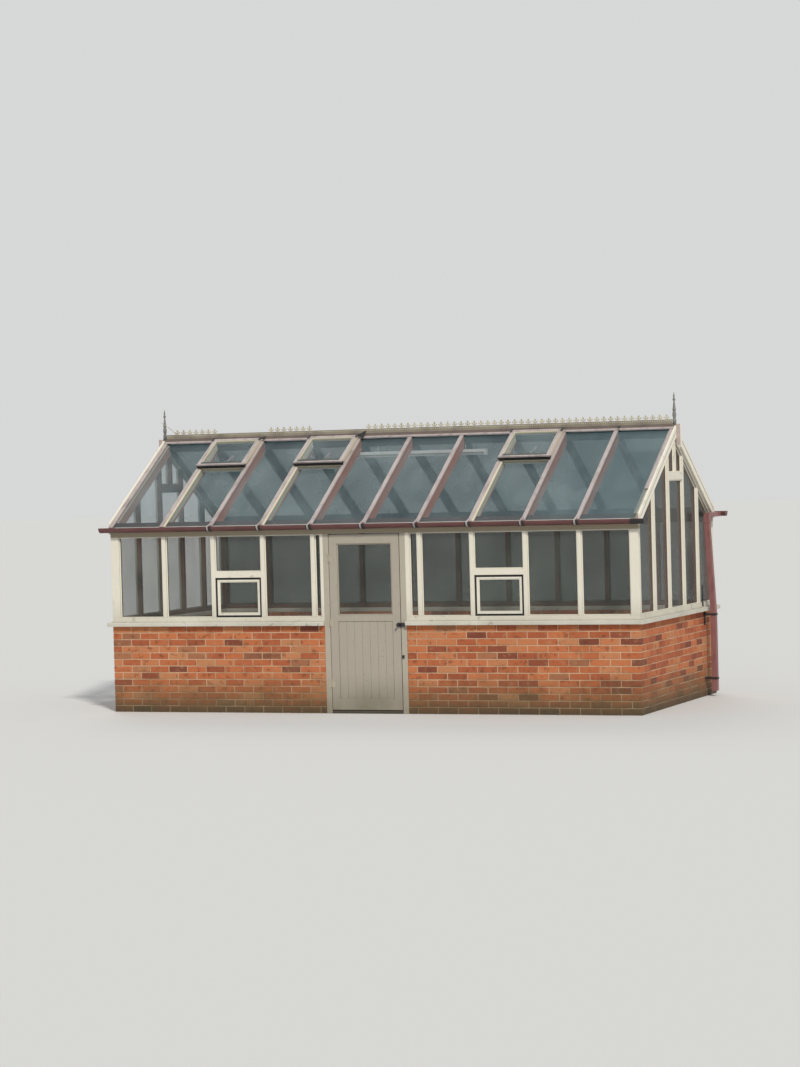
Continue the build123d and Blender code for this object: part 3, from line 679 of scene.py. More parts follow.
    def part(self, name: str, body: Body, finish: Finish, slot: str, smooth: bool = False,
             further: Iterable[Finish] = ()) -> bpy.types.Object:
        """Turn the mesh into a piece that rides on a body.

        Args:
            name: The piece's name.
            body: The body that it rides on.
            finish: Its finish.
            slot: The record's slot for it; not used.
            smooth: Whether its faces are shaded smooth.
            further: More finishes, for faces of a higher material number.

        Returns:
            The new object.
        """
        bmesh.ops.recalc_face_normals(self.mesh, faces=self.mesh.faces[:])
        for face in self.mesh.faces:
            face.smooth = smooth
        data = bpy.data.meshes.new(name)
        self.mesh.to_mesh(data)
        self.mesh.free()
        made = bpy.data.objects.new(name, data)
        for each in (finish, *further):
            data.materials.append(each.material())
        bpy.context.scene.collection.objects.link(made)
        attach(made, body.value)
        LOG.info("%s: %d faces", name, len(data.polygons))
        return made


def dress(node: str, finish: Finish) -> None:
    """Give a node of the frame its finish.

    Args:
        node: The node's name.
        finish: Its finish.
    """
    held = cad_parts[node]
    held.data.materials.clear()
    held.data.materials.append(finish.material())


def eased(node: str, body: Body, finish: Finish, slot: str, width: float = 0.003) -> None:
    """Replace a node by the same shape with rounded edges.

    Args:
        node: The node's name.
        body: The body that it rides on.
        finish: Its finish.
        slot: The record's slot for it.
        width: Width of the rounding.
    """
    work = Work()
    work.take(node)
    work.ease_edges(width)
    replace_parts(work.part(f"{node}_eased", body, finish, slot), node)


def solids(node: str) -> list[tuple[Vector, Vector]]:
    """Find the loose solids of a node.

    Args:
        node: The node's name.

    Returns:
        The lowest and highest corner of each solid.
    """
    work = Work()
    work.take(node)
    left = dict.fromkeys(work.mesh.verts)
    boxes = []
    while left:
        heap = [left.popitem()[0]]
        seen = []
        while heap:
            vert = heap.pop()
            seen.append(vert.co.copy())
            near = [edge.other_vert(vert) for edge in vert.link_edges]
            for other in (v for v in near if v in left):
                del left[other]
                heap.append(other)
        boxes.append((Vector(map(min, zip(*seen))), Vector(map(max, zip(*seen)))))
    work.mesh.free()
    return boxes


@dataclass(frozen=True)
class House:
    """Main sizes of the house, in metres.

    Attributes:
        half_length: From the middle to a gable's brick face.
        half_depth: From the middle to the front's brick face.
        brick_top: Height of the brickwork.
        ridge: Height at which the planes of the two slopes' bar caps meet.
        slope: From the ridge down to the foot of the roof glass.
        brick_thickness: Thickness of the brickwork.
        bar_width: Width of a glazing bar.
        bay: From one glazing bar's line to the next.
        bay_shift: What the two bays in the middle have over the others.
        bays_per_side: Number of bays on each side of the middle.
        vent_bays: Bays of the front slope with a vent, counted from the left and from 0.
    """

    half_length: float
    half_depth: float
    brick_top: float
    ridge: float
    slope: float = 1.496 / math.cos(ROOF_PITCH)
    brick_thickness: float = 0.103
    bar_width: float = 0.045
    bay: float = 0.60
    bay_shift: float = 0.02
    bays_per_side: int = 5
    vent_bays: tuple[int, ...] = (1, 3, 7)

    @classmethod
    def read(cls) -> "House":
        """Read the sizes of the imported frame.

        Returns:
            The house.
        """
        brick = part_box("brick_back")[1]
        cap_start = 0.020
        return cls(brick.x, brick.y, brick.z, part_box("bar_caps")[1].z + cap_start * math.sin(ROOF_PITCH))

    @property
    def bars(self) -> list[float]:
        """Lines of the glazing bars along the house."""
        right = [self.bay * i + self.bay_shift for i in range(1, self.bays_per_side + 1)]
        return [-x for x in reversed(right)] + [0.0] + right

    def on_slope(self, side: int, x: float, down: float, rise: float = 0.0) -> Vector:
        """Find a point on or over a roof slope.

        Args:
            side: -1 in front, 1 behind.
            x: Place along the house.
            down: Distance down the slope from the ridge.
            rise: Height over the bar caps, square to the slope.

        Returns:
            The point.
        """
        sine, cosine = math.sin(ROOF_PITCH), math.cos(ROOF_PITCH)
        return Vector((x, side * (down * cosine + rise * sine), self.ridge - down * sine + rise * cosine))

    def slope_frame(self, side: int) -> Matrix:
        """Find the turn of a roof slope.

        Args:
            side: -1 in front, 1 behind.

        Returns:
            The turn whose X runs along the house, Y up the slope and Z out of it.
        """
        up = self.on_slope(side, 0, 0) - self.on_slope(side, 0, 1)
        out = self.on_slope(side, 0, 0, 1) - self.on_slope(side, 0, 0)
        return Matrix((up.cross(out), up, out)).transposed().to_4x4()

    def slab(self, work: Work, side: int, low: Point, high: Point) -> None:
        """Add a box to a work, with its corners along, up and out of a slope, measured from the ridge."""
        work.block(low, high, self.slope_frame(side), self.on_slope(side, 0, 0))


@dataclass
class BrickBase:
    """The dwarf wall of bricks and mortar.

    Attributes:
        courses: Number of courses.
        joint: Width of a mortar joint.
        pitch: Length of a brick with its joint.
        least: Shortest piece of brick.
        rake: How far the mortar lies behind the wall's face.
        wobble: Most that a brick's face lies back.
        bed_wobble: Most that a brick lies high or low.
        arris: Width of a brick's worn edges.
        seed: Seed of the bricks' places and tones.
    """

    house: House
    courses: int = 13
    joint: float = 0.010
    pitch: float = 0.228
    least: float = 0.035
    rake: float = 0.004
    wobble: float = 0.0015
    bed_wobble: float = 0.0008
    arris: float = 0.0028
    seed: int = 11

    def build(self) -> None:
        """Build the five lengths of wall."""
        h = self.house
        inner = h.half_depth - h.brick_thickness
        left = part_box("brick_front_left")[1].x
        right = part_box("brick_front_right")[0].x
        self.length("brick_front_left", "x", (-h.half_length, left), -h.half_depth, (True, False), 0)
        self.length("brick_front_right", "x", (right, h.half_length), -h.half_depth, (False, True), 0)
        self.length("brick_back", "x", (-h.half_length, h.half_length), inner, (True, True), 0)
        for node, face in (("brick_left", -h.half_length),
                           ("brick_right", h.half_length - h.brick_thickness)):
            self.length(node, "y", (-h.half_depth, h.half_depth), face, (True, True), 1)

    def row(self, run: tuple[float, float], corners: tuple[bool, bool],
            owned: bool) -> list[tuple[float, float]]:
        """Share out the bricks of one course.

        Args:
            run: Where the wall starts and ends.
            corners: Whether each end is a corner.
            owned: Whether the course runs to the face of the corners.

        Returns:
            Where each brick starts and ends.
        """
        step = 0.0 if owned else self.house.brick_thickness + self.joint
        start = run[0] + step * corners[0]
        end = run[1] - step * corners[1]
        if all(corners):
            count = round((end - start + self.joint) / self.pitch)
            pitch = (end - start + self.joint) / count
            return [(start + i * pitch, start + (i + 1) * pitch - self.joint) for i in range(count)]
        bricks = []
        place = 0.0
        while end - start - place > self.least:
            length = min(self.pitch - self.joint, end - start - place)
            first = start + place if corners[0] else end - place - length
            bricks.append((first, first + length))
            place += self.pitch
        return bricks

    def length(self, node: str, axis: str, run: tuple[float, float], face: float,
               corners: tuple[bool, bool], odd: int) -> None:
        """Build one length of wall.

        Args:
            node: The frame's node that it stands for.
            axis: x or y, the way that it runs.
            run: Where it starts and ends.
            face: Lower side of its thickness.
            corners: Whether each end is a corner.
            odd: Which courses run to the corners.
        """
        dice = random.Random(f"{self.seed}{node}")
        work = Work()
        layer = work.mesh.faces.layers.float.new("share")
        course = self.house.brick_top / self.courses
        thick = self.house.brick_thickness
        for i in range(self.courses):
            for a, b in self.row(run, corners, i % 2 == odd):
                back, front = dice.uniform(0, self.wobble), dice.uniform(0, self.wobble)
                z = i * course + self.joint / 2 + dice.uniform(-self.bed_wobble, self.bed_wobble)
                low, high = (a, face + back, z), (b, face + thick - front, z + course - self.joint)
                if axis == "y":
                    low, high = (low[1], low[0], low[2]), (high[1], high[0], high[2])
                share = dice.random()
                for vert in work.block(low, high):
                    for f in vert.link_faces:
                        f[layer] = share
        work.ease_edges(self.arris, 1)
        points = work.mesh.verts.layers.float.new("brick_tone")
        for vert in work.mesh.verts:
            vert[points] = vert.link_faces[0][layer]
        work.mesh.faces.layers.float.remove(work.mesh.faces.layers.float["share"])
        low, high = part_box(node)
        inset = Vector((self.rake, self.rake if axis == "x" else -self.rake, 0.0))
        for vert in work.block(low + inset, high - inset):
            for f in vert.link_faces:
                f.material_index = 1
        made = work.part(f"{node}_work", Body.HOUSE, RED_BRICK, "brick", further=[LIME_MORTAR])
        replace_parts(made, node)


@dataclass
class Frame:
    """Timber of the walls and gables, with the beads that hold their glass.

    Attributes:
        bead: Width of the beads round the panes.
        lip: Width of the rubber lips of the wall vents.
        lip_proud: How far those lips stand out of the sashes.
        lip_sunk: How far they go into the sashes.
        moulding_width: Width and height of the moulding on the sills.
        strip_low: Foot of the strip on a bargeboard, under the bar caps' plane.
        strip_high: Its top, under that plane.
        strip_proud: How far it stands out of the board.
        strip_sunk: How far it goes into the board.
        strip_start: From the ridge down to its upper end.
        strip_end: From its lower end down to the eaves.
    """

    house: House
    bead: float = 0.011
    lip: float = 0.009
    lip_proud: float = 0.0015
    lip_sunk: float = 0.002
    moulding_width: float = 0.012
    strip_low: float = 0.036
    strip_high: float = 0.025
    strip_proud: float = 0.003
    strip_sunk: float = 0.001
    strip_start: float = 0.060
    strip_end: float = 0.030

    def build(self) -> None:
        """Build and dress the frame."""
        timbers = (("sill_boards", SILL_PAINT), ("bottom_rails", RAIL_PAINT), ("corner_posts", POST_PAINT),
                   ("wall_posts", POST_PAINT), ("gable_posts", POST_PAINT), ("gable_rails", RAIL_PAINT),
                   ("side_light_studs", POST_PAINT), ("side_vent_transoms", RAIL_PAINT),
                   ("side_vent_sashes", SASH_PAINT), ("bargeboards", GABLE_SUNLIT_PAINT),
                   ("drop_posts", POST_END_SUNLIT_SIDES))
        for node, finish in timbers:
            eased(node, Body.HOUSE, finish, "cream_paint")
        for node, finish in (("eaves_beams", BEAM_SHADED_PAINT), ("side_vent_seals", SEAL_RUBBER_AND_SHADOW),
                             ("wall_glass", WALL_PANE_SHADED), ("side_vent_glass", WALL_PANE_SHADED),
                             ("gable_glass", GABLE_PANE_SHADED)):
            dress(node, finish)
        self.glazing_beads()
        self.sash_lips()
        self.moulding()
        self.barge_strips()

    def glazing_beads(self) -> None:
        """Build the beads around the panes, from the outer face of each pane."""
        work = Work()
        for node, axis in (("wall_glass", 1), ("gable_glass", 0), ("side_vent_glass", 1)):
            for side in (-1, 1):
                self.ring(work, node, axis, side)
        work.ease_edges(0.003, 1)
        work.part("glazing_beads", Body.HOUSE, SASH_PAINT, "cream_paint")

    def ring(self, work: Work, node: str, axis: int, side: int) -> None:
        """Add the beads of the panes that face one way.

        Args:
            work: The mesh that they are added to.
            node: The panes' node.
            axis: 0 where they face along X, 1 along Y.
            side: -1 or 1, the way they face.
        """
        panes = Work()
        panes.take(node)
        mesh = panes.mesh
        outer = {f for f in mesh.faces
                 if f.normal[axis] * side > 0.9 and f.calc_center_median()[axis] * side > 0}
        bmesh.ops.delete(mesh, geom=[f for f in mesh.faces if f not in outer], context="FACES")
        inner = mesh.faces[:]
        bmesh.ops.inset_individual(mesh, faces=inner, thickness=self.bead, use_even_offset=True)
        bmesh.ops.delete(mesh, geom=inner, context="FACES_ONLY")
        grown = bmesh.ops.extrude_face_region(mesh, geom=mesh.faces[:])["geom"]
        shift = Vector((0.0, 0.0, 0.0))
        shift[axis] = side * self.bead
        bmesh.ops.translate(mesh, verts=[g for g in grown if isinstance(g, bmesh.types.BMVert)], vec=shift)
        bmesh.ops.recalc_face_normals(mesh, faces=mesh.faces[:])
        held = bpy.data.meshes.new(f"{node}_rings")
        mesh.to_mesh(held)
        mesh.free()
        work.mesh.from_mesh(held)
        bpy.data.meshes.remove(held)

    def sash_lips(self) -> None:
        """Build the black rubber lips round the outer edge of the wall vents, which also paint the shadow
        in the gap round each sash.
        """
        work = Work()
        for low, high in solids("side_vent_sashes"):
            front, back = low.y - self.lip_proud, low.y + self.lip_sunk
            work.border((low.x, front, low.z), (high.x, back, high.z), self.lip)
        work.part("sash_lips", Body.HOUSE, SEAL_RUBBER_AND_SHADOW, "seal")

    def moulding(self) -> None:
        """Build the small moulding at the foot of the rails, on the sills."""
        h = self.house
        work = Work()
        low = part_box("sill_boards")[1].z
        high = low + self.moulding_width
        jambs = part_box("door_jambs")
        out_x, out_y = h.half_length + self.moulding_width, h.half_depth + self.moulding_width
        for a, b in ((-out_x, jambs[0].x), (jambs[1].x, out_x)):
            work.block((a, -out_y, low), (b, -h.half_depth, high))
        work.block((-out_x, h.half_depth, low), (out_x, out_y, high))
        for side in (-1, 1):
            near, far = sorted((side * h.half_length, side * out_x))
            work.block((near, -h.half_depth, low), (far, h.half_depth, high))
        work.ease_edges(0.004)
        work.part("rail_moulding", Body.HOUSE, SILL_PAINT, "cream_paint")

    def barge_strips(self) -> None:
        """Build the thin metal strip along the middle of each bargeboard."""
        h = self.house
        work = Work()
        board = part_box("bargeboards")[1].x
        inner, outer = board - self.strip_sunk, board + self.strip_proud
        end = -h.half_depth / math.cos(ROOF_PITCH) + self.strip_end
        for side in (-1, 1):
            for near, far in ((inner, outer), (-outer, -inner)):
                h.slab(work, side, (near, end, -self.strip_low), (far, -self.strip_start, -self.strip_high))
        work.ease_edges(0.001, 1)
        work.part("barge_strips", Body.HOUSE, CAP_METAL, "cap_strip")


@dataclass
class Roof:
    """Rafters, capping strips, roof glass and vents.

    Attributes:
        screw_start: From the ridge down to the first screw of a cap.
        screw_pitch: From screw to screw.
        screws: Number of screws in a whole cap.
        broken_screws: Number of screws in the broken cap, at the front right.
        screw_head: Size of a screw head along each axis of the slope.
        screw_rise: Height of its middle over the cap.
        drip_gap: From a bar's side to a drip strip.
        drip: From the glass's foot up to a drip strip's lower and upper edge, and its foot and top.
    """

    house: House
    screw_start: float = 0.17
    screw_pitch: float = 0.29
    screws: int = 6
    broken_screws: int = 4
    screw_head: tuple[float, float, float] = (0.007, 0.007, 0.003)
    screw_rise: float = 0.0003
    drip_gap: float = 0.0005
    drip: tuple[float, float, float, float] = (0.002, 0.016, -0.022, -0.016)

    def build(self) -> None:
        """Build and dress the roof."""
        eased("rafters", Body.HOUSE, RAFTER_STAIN_LIT_AND_SHADED, "stained_wood", 0.004)
        eased("bar_caps", Body.HOUSE, CAP_METAL, "cap_strip", 0.004)
        for node in ("roof_vent_curbs", "roof_vent_frames"):
            eased(node, Body.HOUSE, VENT_PAINT, "cream_paint")
        dress("ridge_board", RIDGE_STAIN_AND_SHADE)
        for node in ("roof_glass", "roof_vent_glass"):
            dress(node, ROOF_PANE)
        self.cap_screws()
        VentFittings(self.house).build()
        self.drips()

    def cap_screws(self) -> None:
        """Build the screw heads along the capping strips."""
        h = self.house
        work = Work()
        verge = h.half_length - h.bar_width / 2
        for side in (-1, 1):
            turn = h.slope_frame(side)
            for x in (-verge, *h.bars[1:-1], verge):
                broken = side < 0 and x == verge
                for i in range(self.broken_screws if broken else self.screws):
                    down = self.screw_start + i * self.screw_pitch
                    work.dome(h.on_slope(side, x, down, self.screw_rise), self.screw_head, turn)
        work.part("cap_screws", Body.HOUSE, CAP_METAL, "cap_strip", smooth=True)

    def drips(self) -> None:
        """Build the pale drip strips at the foot of the glass, between the bars; their near-white is partly
        a painted glint.
        """
        h = self.house
        work = Work()
        edge = h.bar_width / 2 + self.drip_gap
        lower, upper, low, high = self.drip
        for side in (-1, 1):
            for a, b in zip(h.bars, h.bars[1:]):
                h.slab(work, side, (a + edge, lower - h.slope, low), (b - edge, upper - h.slope, high))
        work.ease_edges(0.0015, 1)
        work.part("glass_drips", Body.HOUSE, DRIP_PAINT_AND_GLINT, "cream_paint")


@dataclass
class VentFittings:
    """What is fitted to the three vents of the front slope.

    Attributes:
        hinge: From the ridge down to the hinge line.
        stand: Height of the hinge line over the bar caps.
        open_angle: How far the lids stand open, in degrees.
        near: From the ridge down to the lids' upper edge.
        far: From the ridge down to their lower edge.
        gap: From a bar's line to a lid's side.
        height: Height of the lids' frames.
        strip: Width of the metal strips on the frames.
        thin: Thickness of those strips.
        knob: Size of the black knobs at a lid's lower corners.
        arms: Ends of an opener's arms: from the bay's middle, down the slope and over the bar caps.
        arm_radii: Radius of each arm.
        curb: From a bar's line to the inner side of a curb.
        bay_liners: Width, from the glass's foot up, from the ridge down, foot and top of each board
            beside the pane below a vent.
        head_shade_liners: From the ridge down to the lower and upper edge, foot and top of each dark
        lining at a curb's head, which is painted shade inside the vent.
    """

    house: House
    hinge: float = 0.080
    stand: float = 0.004
    open_angle: float = 1.5
    near: float = 0.050
    far: float = 0.605
    gap: float = 0.006
    height: float = 0.038
    strip: float = 0.040
    thin: float = 0.004
    knob: tuple[float, float, float] = (0.013, 0.020, 0.020)
    arms: tuple[tuple[float, float, float], ...] = (
        (-0.02, 0.540, -0.055), (0.05, 0.330, -0.010), (0.0, 0.570, 0.018))
    arm_radii: tuple[float, float] = (0.008, 0.007)
    curb: float = 0.0525
    bay_liners: tuple[tuple[float, float, float, float, float], ...] = (
        (0.012, 0.060, 0.592, -0.090, -0.0265), (0.020, 0.010, 0.612, -0.022, -0.006))
    head_shade_liners: tuple[tuple[float, float, float, float], ...] = (
        (0.1125, 0.1098, -0.0595, 0.0050), (0.1098, 0.0965, 0.0038, 0.0050))

    def build(self) -> None:
        """Build the fittings of every vent."""
        looks = {"vent_trim": (CAP_METAL, "cap_strip"),
                 "vent_shadow_seals": (SEAL_RUBBER_AND_SHADOW, "seal"),
                 "vent_aprons": (DARK_LEAD, "black_iron"),
                 "vent_openers": (CAP_METAL, "cap_strip"),
                 "vent_bay_liners": (VENT_PAINT, "cream_paint"),
                 "vent_head_shade_liners": (RIDGE_STAIN_AND_SHADE, "stained_wood"),
                 "vent_ears": (BLACK_METAL, "black_iron")}
        works = {name: Work() for name in looks}
        for bay in self.house.vent_bays:
            self.lid(works, bay)
            self.opener(works["vent_openers"], bay)
            self.liners(works, bay)
        for name in ("vent_trim", "vent_shadow_seals", "vent_aprons", "vent_bay_liners"):
            works[name].ease_edges(0.0015, 1)
        for name, (finish, slot) in looks.items():
            works[name].part(name, Body.HOUSE, finish, slot)

    def lid(self, works: dict[str, Work], bay: int) -> None:
        """Add the metal trim, rubber seals, lead apron and black ears of one lid; the black seals at its
        lower edge also paint the shadow in the gap under it.

        Args:
            works: The meshes by name.
            bay: The number of its bay.
        """
        h = self.house
        turn = h.slope_frame(-1) @ Matrix.Rotation(-math.radians(self.open_angle), 4, "X")
        hinge = h.on_slope(-1, 0.0, self.hinge, self.stand)
        a, b = h.bars[bay] + self.gap, h.bars[bay + 1] - self.gap
        inner_a, inner_b = a + self.strip, b - self.strip
        top, foot = self.hinge - self.near, self.hinge - self.far
        face, proud = self.height, self.height + self.thin
        lap = face - 0.014
        # Corners along the house, up the slope and out of it, from the hinge line
        boxes = [("vent_trim", (a - 0.0005, foot + 0.012, face), (inner_a, top, proud)),
                 ("vent_trim", (inner_b, foot + 0.012, face), (b + 0.0005, top, proud)),
                 ("vent_trim", (inner_a, top - 0.038, face), (inner_b, top, proud)),
                 ("vent_trim", (a - 0.005, foot - 0.010, lap), (b + 0.005, foot + 0.010, face + 0.005)),
                 ("vent_aprons", (a + 0.038, foot + 0.010, face), (b - 0.038, foot + 0.052, face + 0.003)),
                 # Black seals under the lower edge: rubber, and the painted shadow of the gap there.
                 ("vent_shadow_seals", (a + 0.002, foot + 0.002, -0.014), (b - 0.002, foot + 0.020, 0.0)),
                 ("vent_shadow_seals", (a - 0.004, foot - 0.008, -0.012), (b + 0.004, foot - 0.0005, lap))]
        for x in (a, b):
            boxes.append(("vent_ears", (x - 0.012, top - 0.050, face + 0.002),
                          (x + 0.012, top + 0.012, face + 0.012)))
            corner = turn @ Vector((x, foot + 0.004, 0.014)) + hinge
            works["vent_ears"].dome(corner, self.knob, turn)
        for name, low, high in boxes:
            works[name].block(low, high, turn, hinge)

    def opener(self, work: Work, bay: int) -> None:
        """Add the two arms of a vent's opener.

        Args:
            work: The mesh that they are added to.
            bay: The number of the vent's bay.
        """
        h = self.house
        middle = (h.bars[bay] + h.bars[bay + 1]) / 2
        ends = [h.on_slope(-1, middle + dx, down, rise) for dx, down, rise in self.arms]
        for start, end, radius in zip(ends, ends[1:], self.arm_radii):
            work.rod(start, end, radius)

    def liners(self, works: dict[str, Work], bay: int) -> None:
        """Add the cream boards beside the pane below a vent and the dark boards at its curb's head, which
        are painted shade.

        Args:
            works: The meshes by name.
            bay: The number of the vent's bay.
        """
        h = self.house
        x = h.bars[bay] + h.bar_width / 2
        a, b = h.bars[bay] + self.curb, h.bars[bay + 1] - self.curb
        for width, up, down, low, high in self.bay_liners:
            h.slab(works["vent_bay_liners"], -1, (x, up - h.slope, low), (x + width, -down, high))
        # Dark linings at the curb's head: painted shade inside the vent.
        for lower, upper, low, high in self.head_shade_liners:
            h.slab(works["vent_head_shade_liners"], -1, (a, -lower, low), (b, -upper, high))


@dataclass
class Ridge:
    """Ridge capping, cast cresting, finials and what hangs loose there.

    Attributes:
        base: Height of the capping's top.
        flashings: From the ridge down to the lower and upper edge, foot and top of each pale strip.
        strip: Height of the strip that carries the cresting.
        web: Half its thickness.
        sole: Half the width and the height of the bar at its foot.
        rail: Half the width and the height of the bar along its top.
        leaf_pitch: From leaf to leaf.
        leaf_thickness: Thickness of a leaf.
        leaf_runs: Where each row of leaves that is left starts, and its number of leaves.
        leaf_half: Right half of a leaf's outline, from its foot on the strip up.
        leaf_tip: Height of a leaf.
        bead_pitch: From bead to bead along the strip, before they are spread evenly.
        bead_drop: From the strip's top down to the middle of a bead.
        bead: Size of a bead along each axis.
        finial: Radius and height of each step of a finial.
        packing: Half the width of the block under a finial.
        rods: Ends in X and Z of the two lengths of the bent rod beside the left finial.
        rod_y: Place of that rod across the house.
        rod_radius: Radius of that rod.
        flaps: Place along the house and size of each lifted corner of flashing.
        flap: Corners of a whole flap in X and Z.
        flap_thickness: Thickness of a flap.
        flap_y: Place of the flaps across the house.
        flap_rise: From the ridge up to them.
        flap_lean: How far they lean, in degrees.
    """

    house: House
    base: float = 3.045
    flashings: tuple[tuple[float, float, float, float], ...] = (
        (0.0535, 0.0485, 0.0005, 0.0085), (0.0485, 0.016, 0.0052, 0.0075))
    strip: float = 0.048
    web: float = 0.002
    sole: tuple[float, float] = (0.007, 0.010)
    rail: tuple[float, float] = (0.005, 0.004)
    leaf_pitch: float = 0.0795
    leaf_thickness: float = 0.005
    leaf_runs: tuple[tuple[float, int], ...] = ((-2.912, 7), (-1.719, 7), (-0.512, 45))
    leaf_half: tuple[tuple[float, float], ...] = (
        (0.0035, -0.001), (0.0035, 0.008), (0.010, 0.005), (0.018, 0.008), (0.023, 0.016), (0.031, 0.018),
        (0.0325, 0.025), (0.027, 0.031), (0.019, 0.030), (0.016, 0.024), (0.0105, 0.018), (0.005, 0.020),
        (0.0045, 0.028), (0.0125, 0.034), (0.011, 0.043), (0.0055, 0.051))
    leaf_tip: float = 0.059
    bead_pitch: float = 0.0255
    bead_drop: float = 0.016
    bead: tuple[float, float, float] = (0.0085, 0.0075, 0.0085)
    finial: tuple[tuple[float, float], ...] = (
        (0.0, 0.0), (0.021, 0.0), (0.021, 0.046), (0.018, 0.050), (0.0145, 0.056), (0.0165, 0.068),
        (0.020, 0.086), (0.021, 0.100), (0.019, 0.118), (0.0155, 0.132), (0.013, 0.142), (0.0195, 0.145),
        (0.020, 0.151), (0.0195, 0.157), (0.0165, 0.163), (0.0155, 0.172), (0.013, 0.190), (0.0105, 0.212),
        (0.008, 0.234), (0.0065, 0.247), (0.0145, 0.256), (0.0145, 0.268), (0.0075, 0.281), (0.0065, 0.288),
        (0.0105, 0.298), (0.0065, 0.312), (0.003, 0.336), (0.0, 0.343))
    packing: float = 0.013
    rods: tuple[tuple[float, float, float, float], ...] = (
        (-3.105, 3.235, -2.985, 3.155), (-2.987, 3.156, -2.925, 3.098))
    rod_y: float = -0.012
    rod_radius: float = 0.0035
    flaps: tuple[tuple[float, float], ...] = (
        (-0.585, 1.0), (-1.165, 0.45), (-0.935, 0.3), (2.455, 0.4), (-1.795, 0.5))
    flap: tuple[tuple[float, float], ...] = ((-0.055, 0.0), (0.035, -0.035), (0.062, 0.062))
    flap_thickness: float = 0.0025
    flap_y: float = -0.062
    flap_rise: float = 0.004
    flap_lean: float = -24.0

    def build(self) -> None:
        """Build the ridge."""
        eased("ridge_capping", Body.HOUSE, RIDGE_METAL, "ridge_paint", 0.002)
        self.flashing()
        self.cresting()
        self.finials()
        self.loose_bits()

    def flashing(self) -> None:
        """Build the pale rolled edges of the capping."""
        h = self.house
        work = Work()
        for side in (-1, 1):
            for lower, upper, low, high in self.flashings:
                h.slab(work, side, (-h.half_length, -lower, low), (h.half_length, -upper, high))
        work.ease_edges(0.001, 1)
        work.part("ridge_flashing", Body.HOUSE, CAP_METAL, "cap_strip")

    def cresting(self) -> None:
        """Build the cast cresting: a beaded strip with a row of leaves on it."""
        top = self.base + self.strip
        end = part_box("cresting")[1].x
        outline = [*self.leaf_half, (0.0, self.leaf_tip)] + [(-x, z) for x, z in reversed(self.leaf_half)]
        cast = Work()
        for start, count in self.leaf_runs:
            for i in range(count):
                place = Matrix.Translation((start + i * self.leaf_pitch, 0.0, top))
                cast.plate(outline, self.leaf_thickness, place)
        beads = int(2 * end / self.bead_pitch)
        for i in range(beads):
            x = -end + (i + 0.5) * 2 * end / beads
            cast.dome((x, 0.0, top - self.bead_drop), self.bead, sides=6)
        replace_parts(cast.part("cresting_cast", Body.HOUSE, CREST_METAL, "ridge_paint"), "cresting")
        strip = Work()
        (sole, sole_height), (rail, rail_height) = self.sole, self.rail
        for half, low, high in ((self.web, self.base, top), (sole, self.base, self.base + sole_height),
                                (rail, top - rail_height, top)):
            strip.block((-end, -half, low), (end, half, high))
        strip.ease_edges(0.001, 1)
        strip.part("cresting_strip", Body.HOUSE, STRIP_METAL, "ridge_paint")

    def finials(self) -> None:
        """Build the turned finials, each on its packing block."""
        low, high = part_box("finials")
        for name, side in (("left", -1), ("right", 1)):
            work = Work()
            x = side * self.house.half_length
            near, far = sorted((x, side * high.x))
            work.block((near, -self.packing, low.z), (far, self.packing, self.base))
            work.turned(self.finial, Matrix.Translation((x, 0.0, self.base)))
            made = work.part(f"finial_{name}", Body.HOUSE, FINIAL_METAL, "ridge_paint", smooth=True)
            if name == "left":
                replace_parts(made, "finials")

    def loose_bits(self) -> None:
        """Build the bent rod by the left finial and the lifted corners of flashing."""
        bent = Work()
        for x0, z0, x1, z1 in self.rods:
            bent.rod((x0, self.rod_y, z0), (x1, self.rod_y, z1), self.rod_radius, 8)
        bent.part("bent_rod", Body.HOUSE, CREST_METAL, "ridge_paint", smooth=True)
        lifted = Work()
        lean = Matrix.Rotation(math.radians(self.flap_lean), 4, "X")
        for x, size in self.flaps:
            outline = [(size * dx, size * dz) for dx, dz in self.flap]
            place = Matrix.Translation((x, self.flap_y, self.house.ridge + self.flap_rise)) @ lean
            lifted.plate(outline, self.flap_thickness, place)
        lifted.part("lifted_flashing", Body.HOUSE, BLACK_METAL, "black_iron")


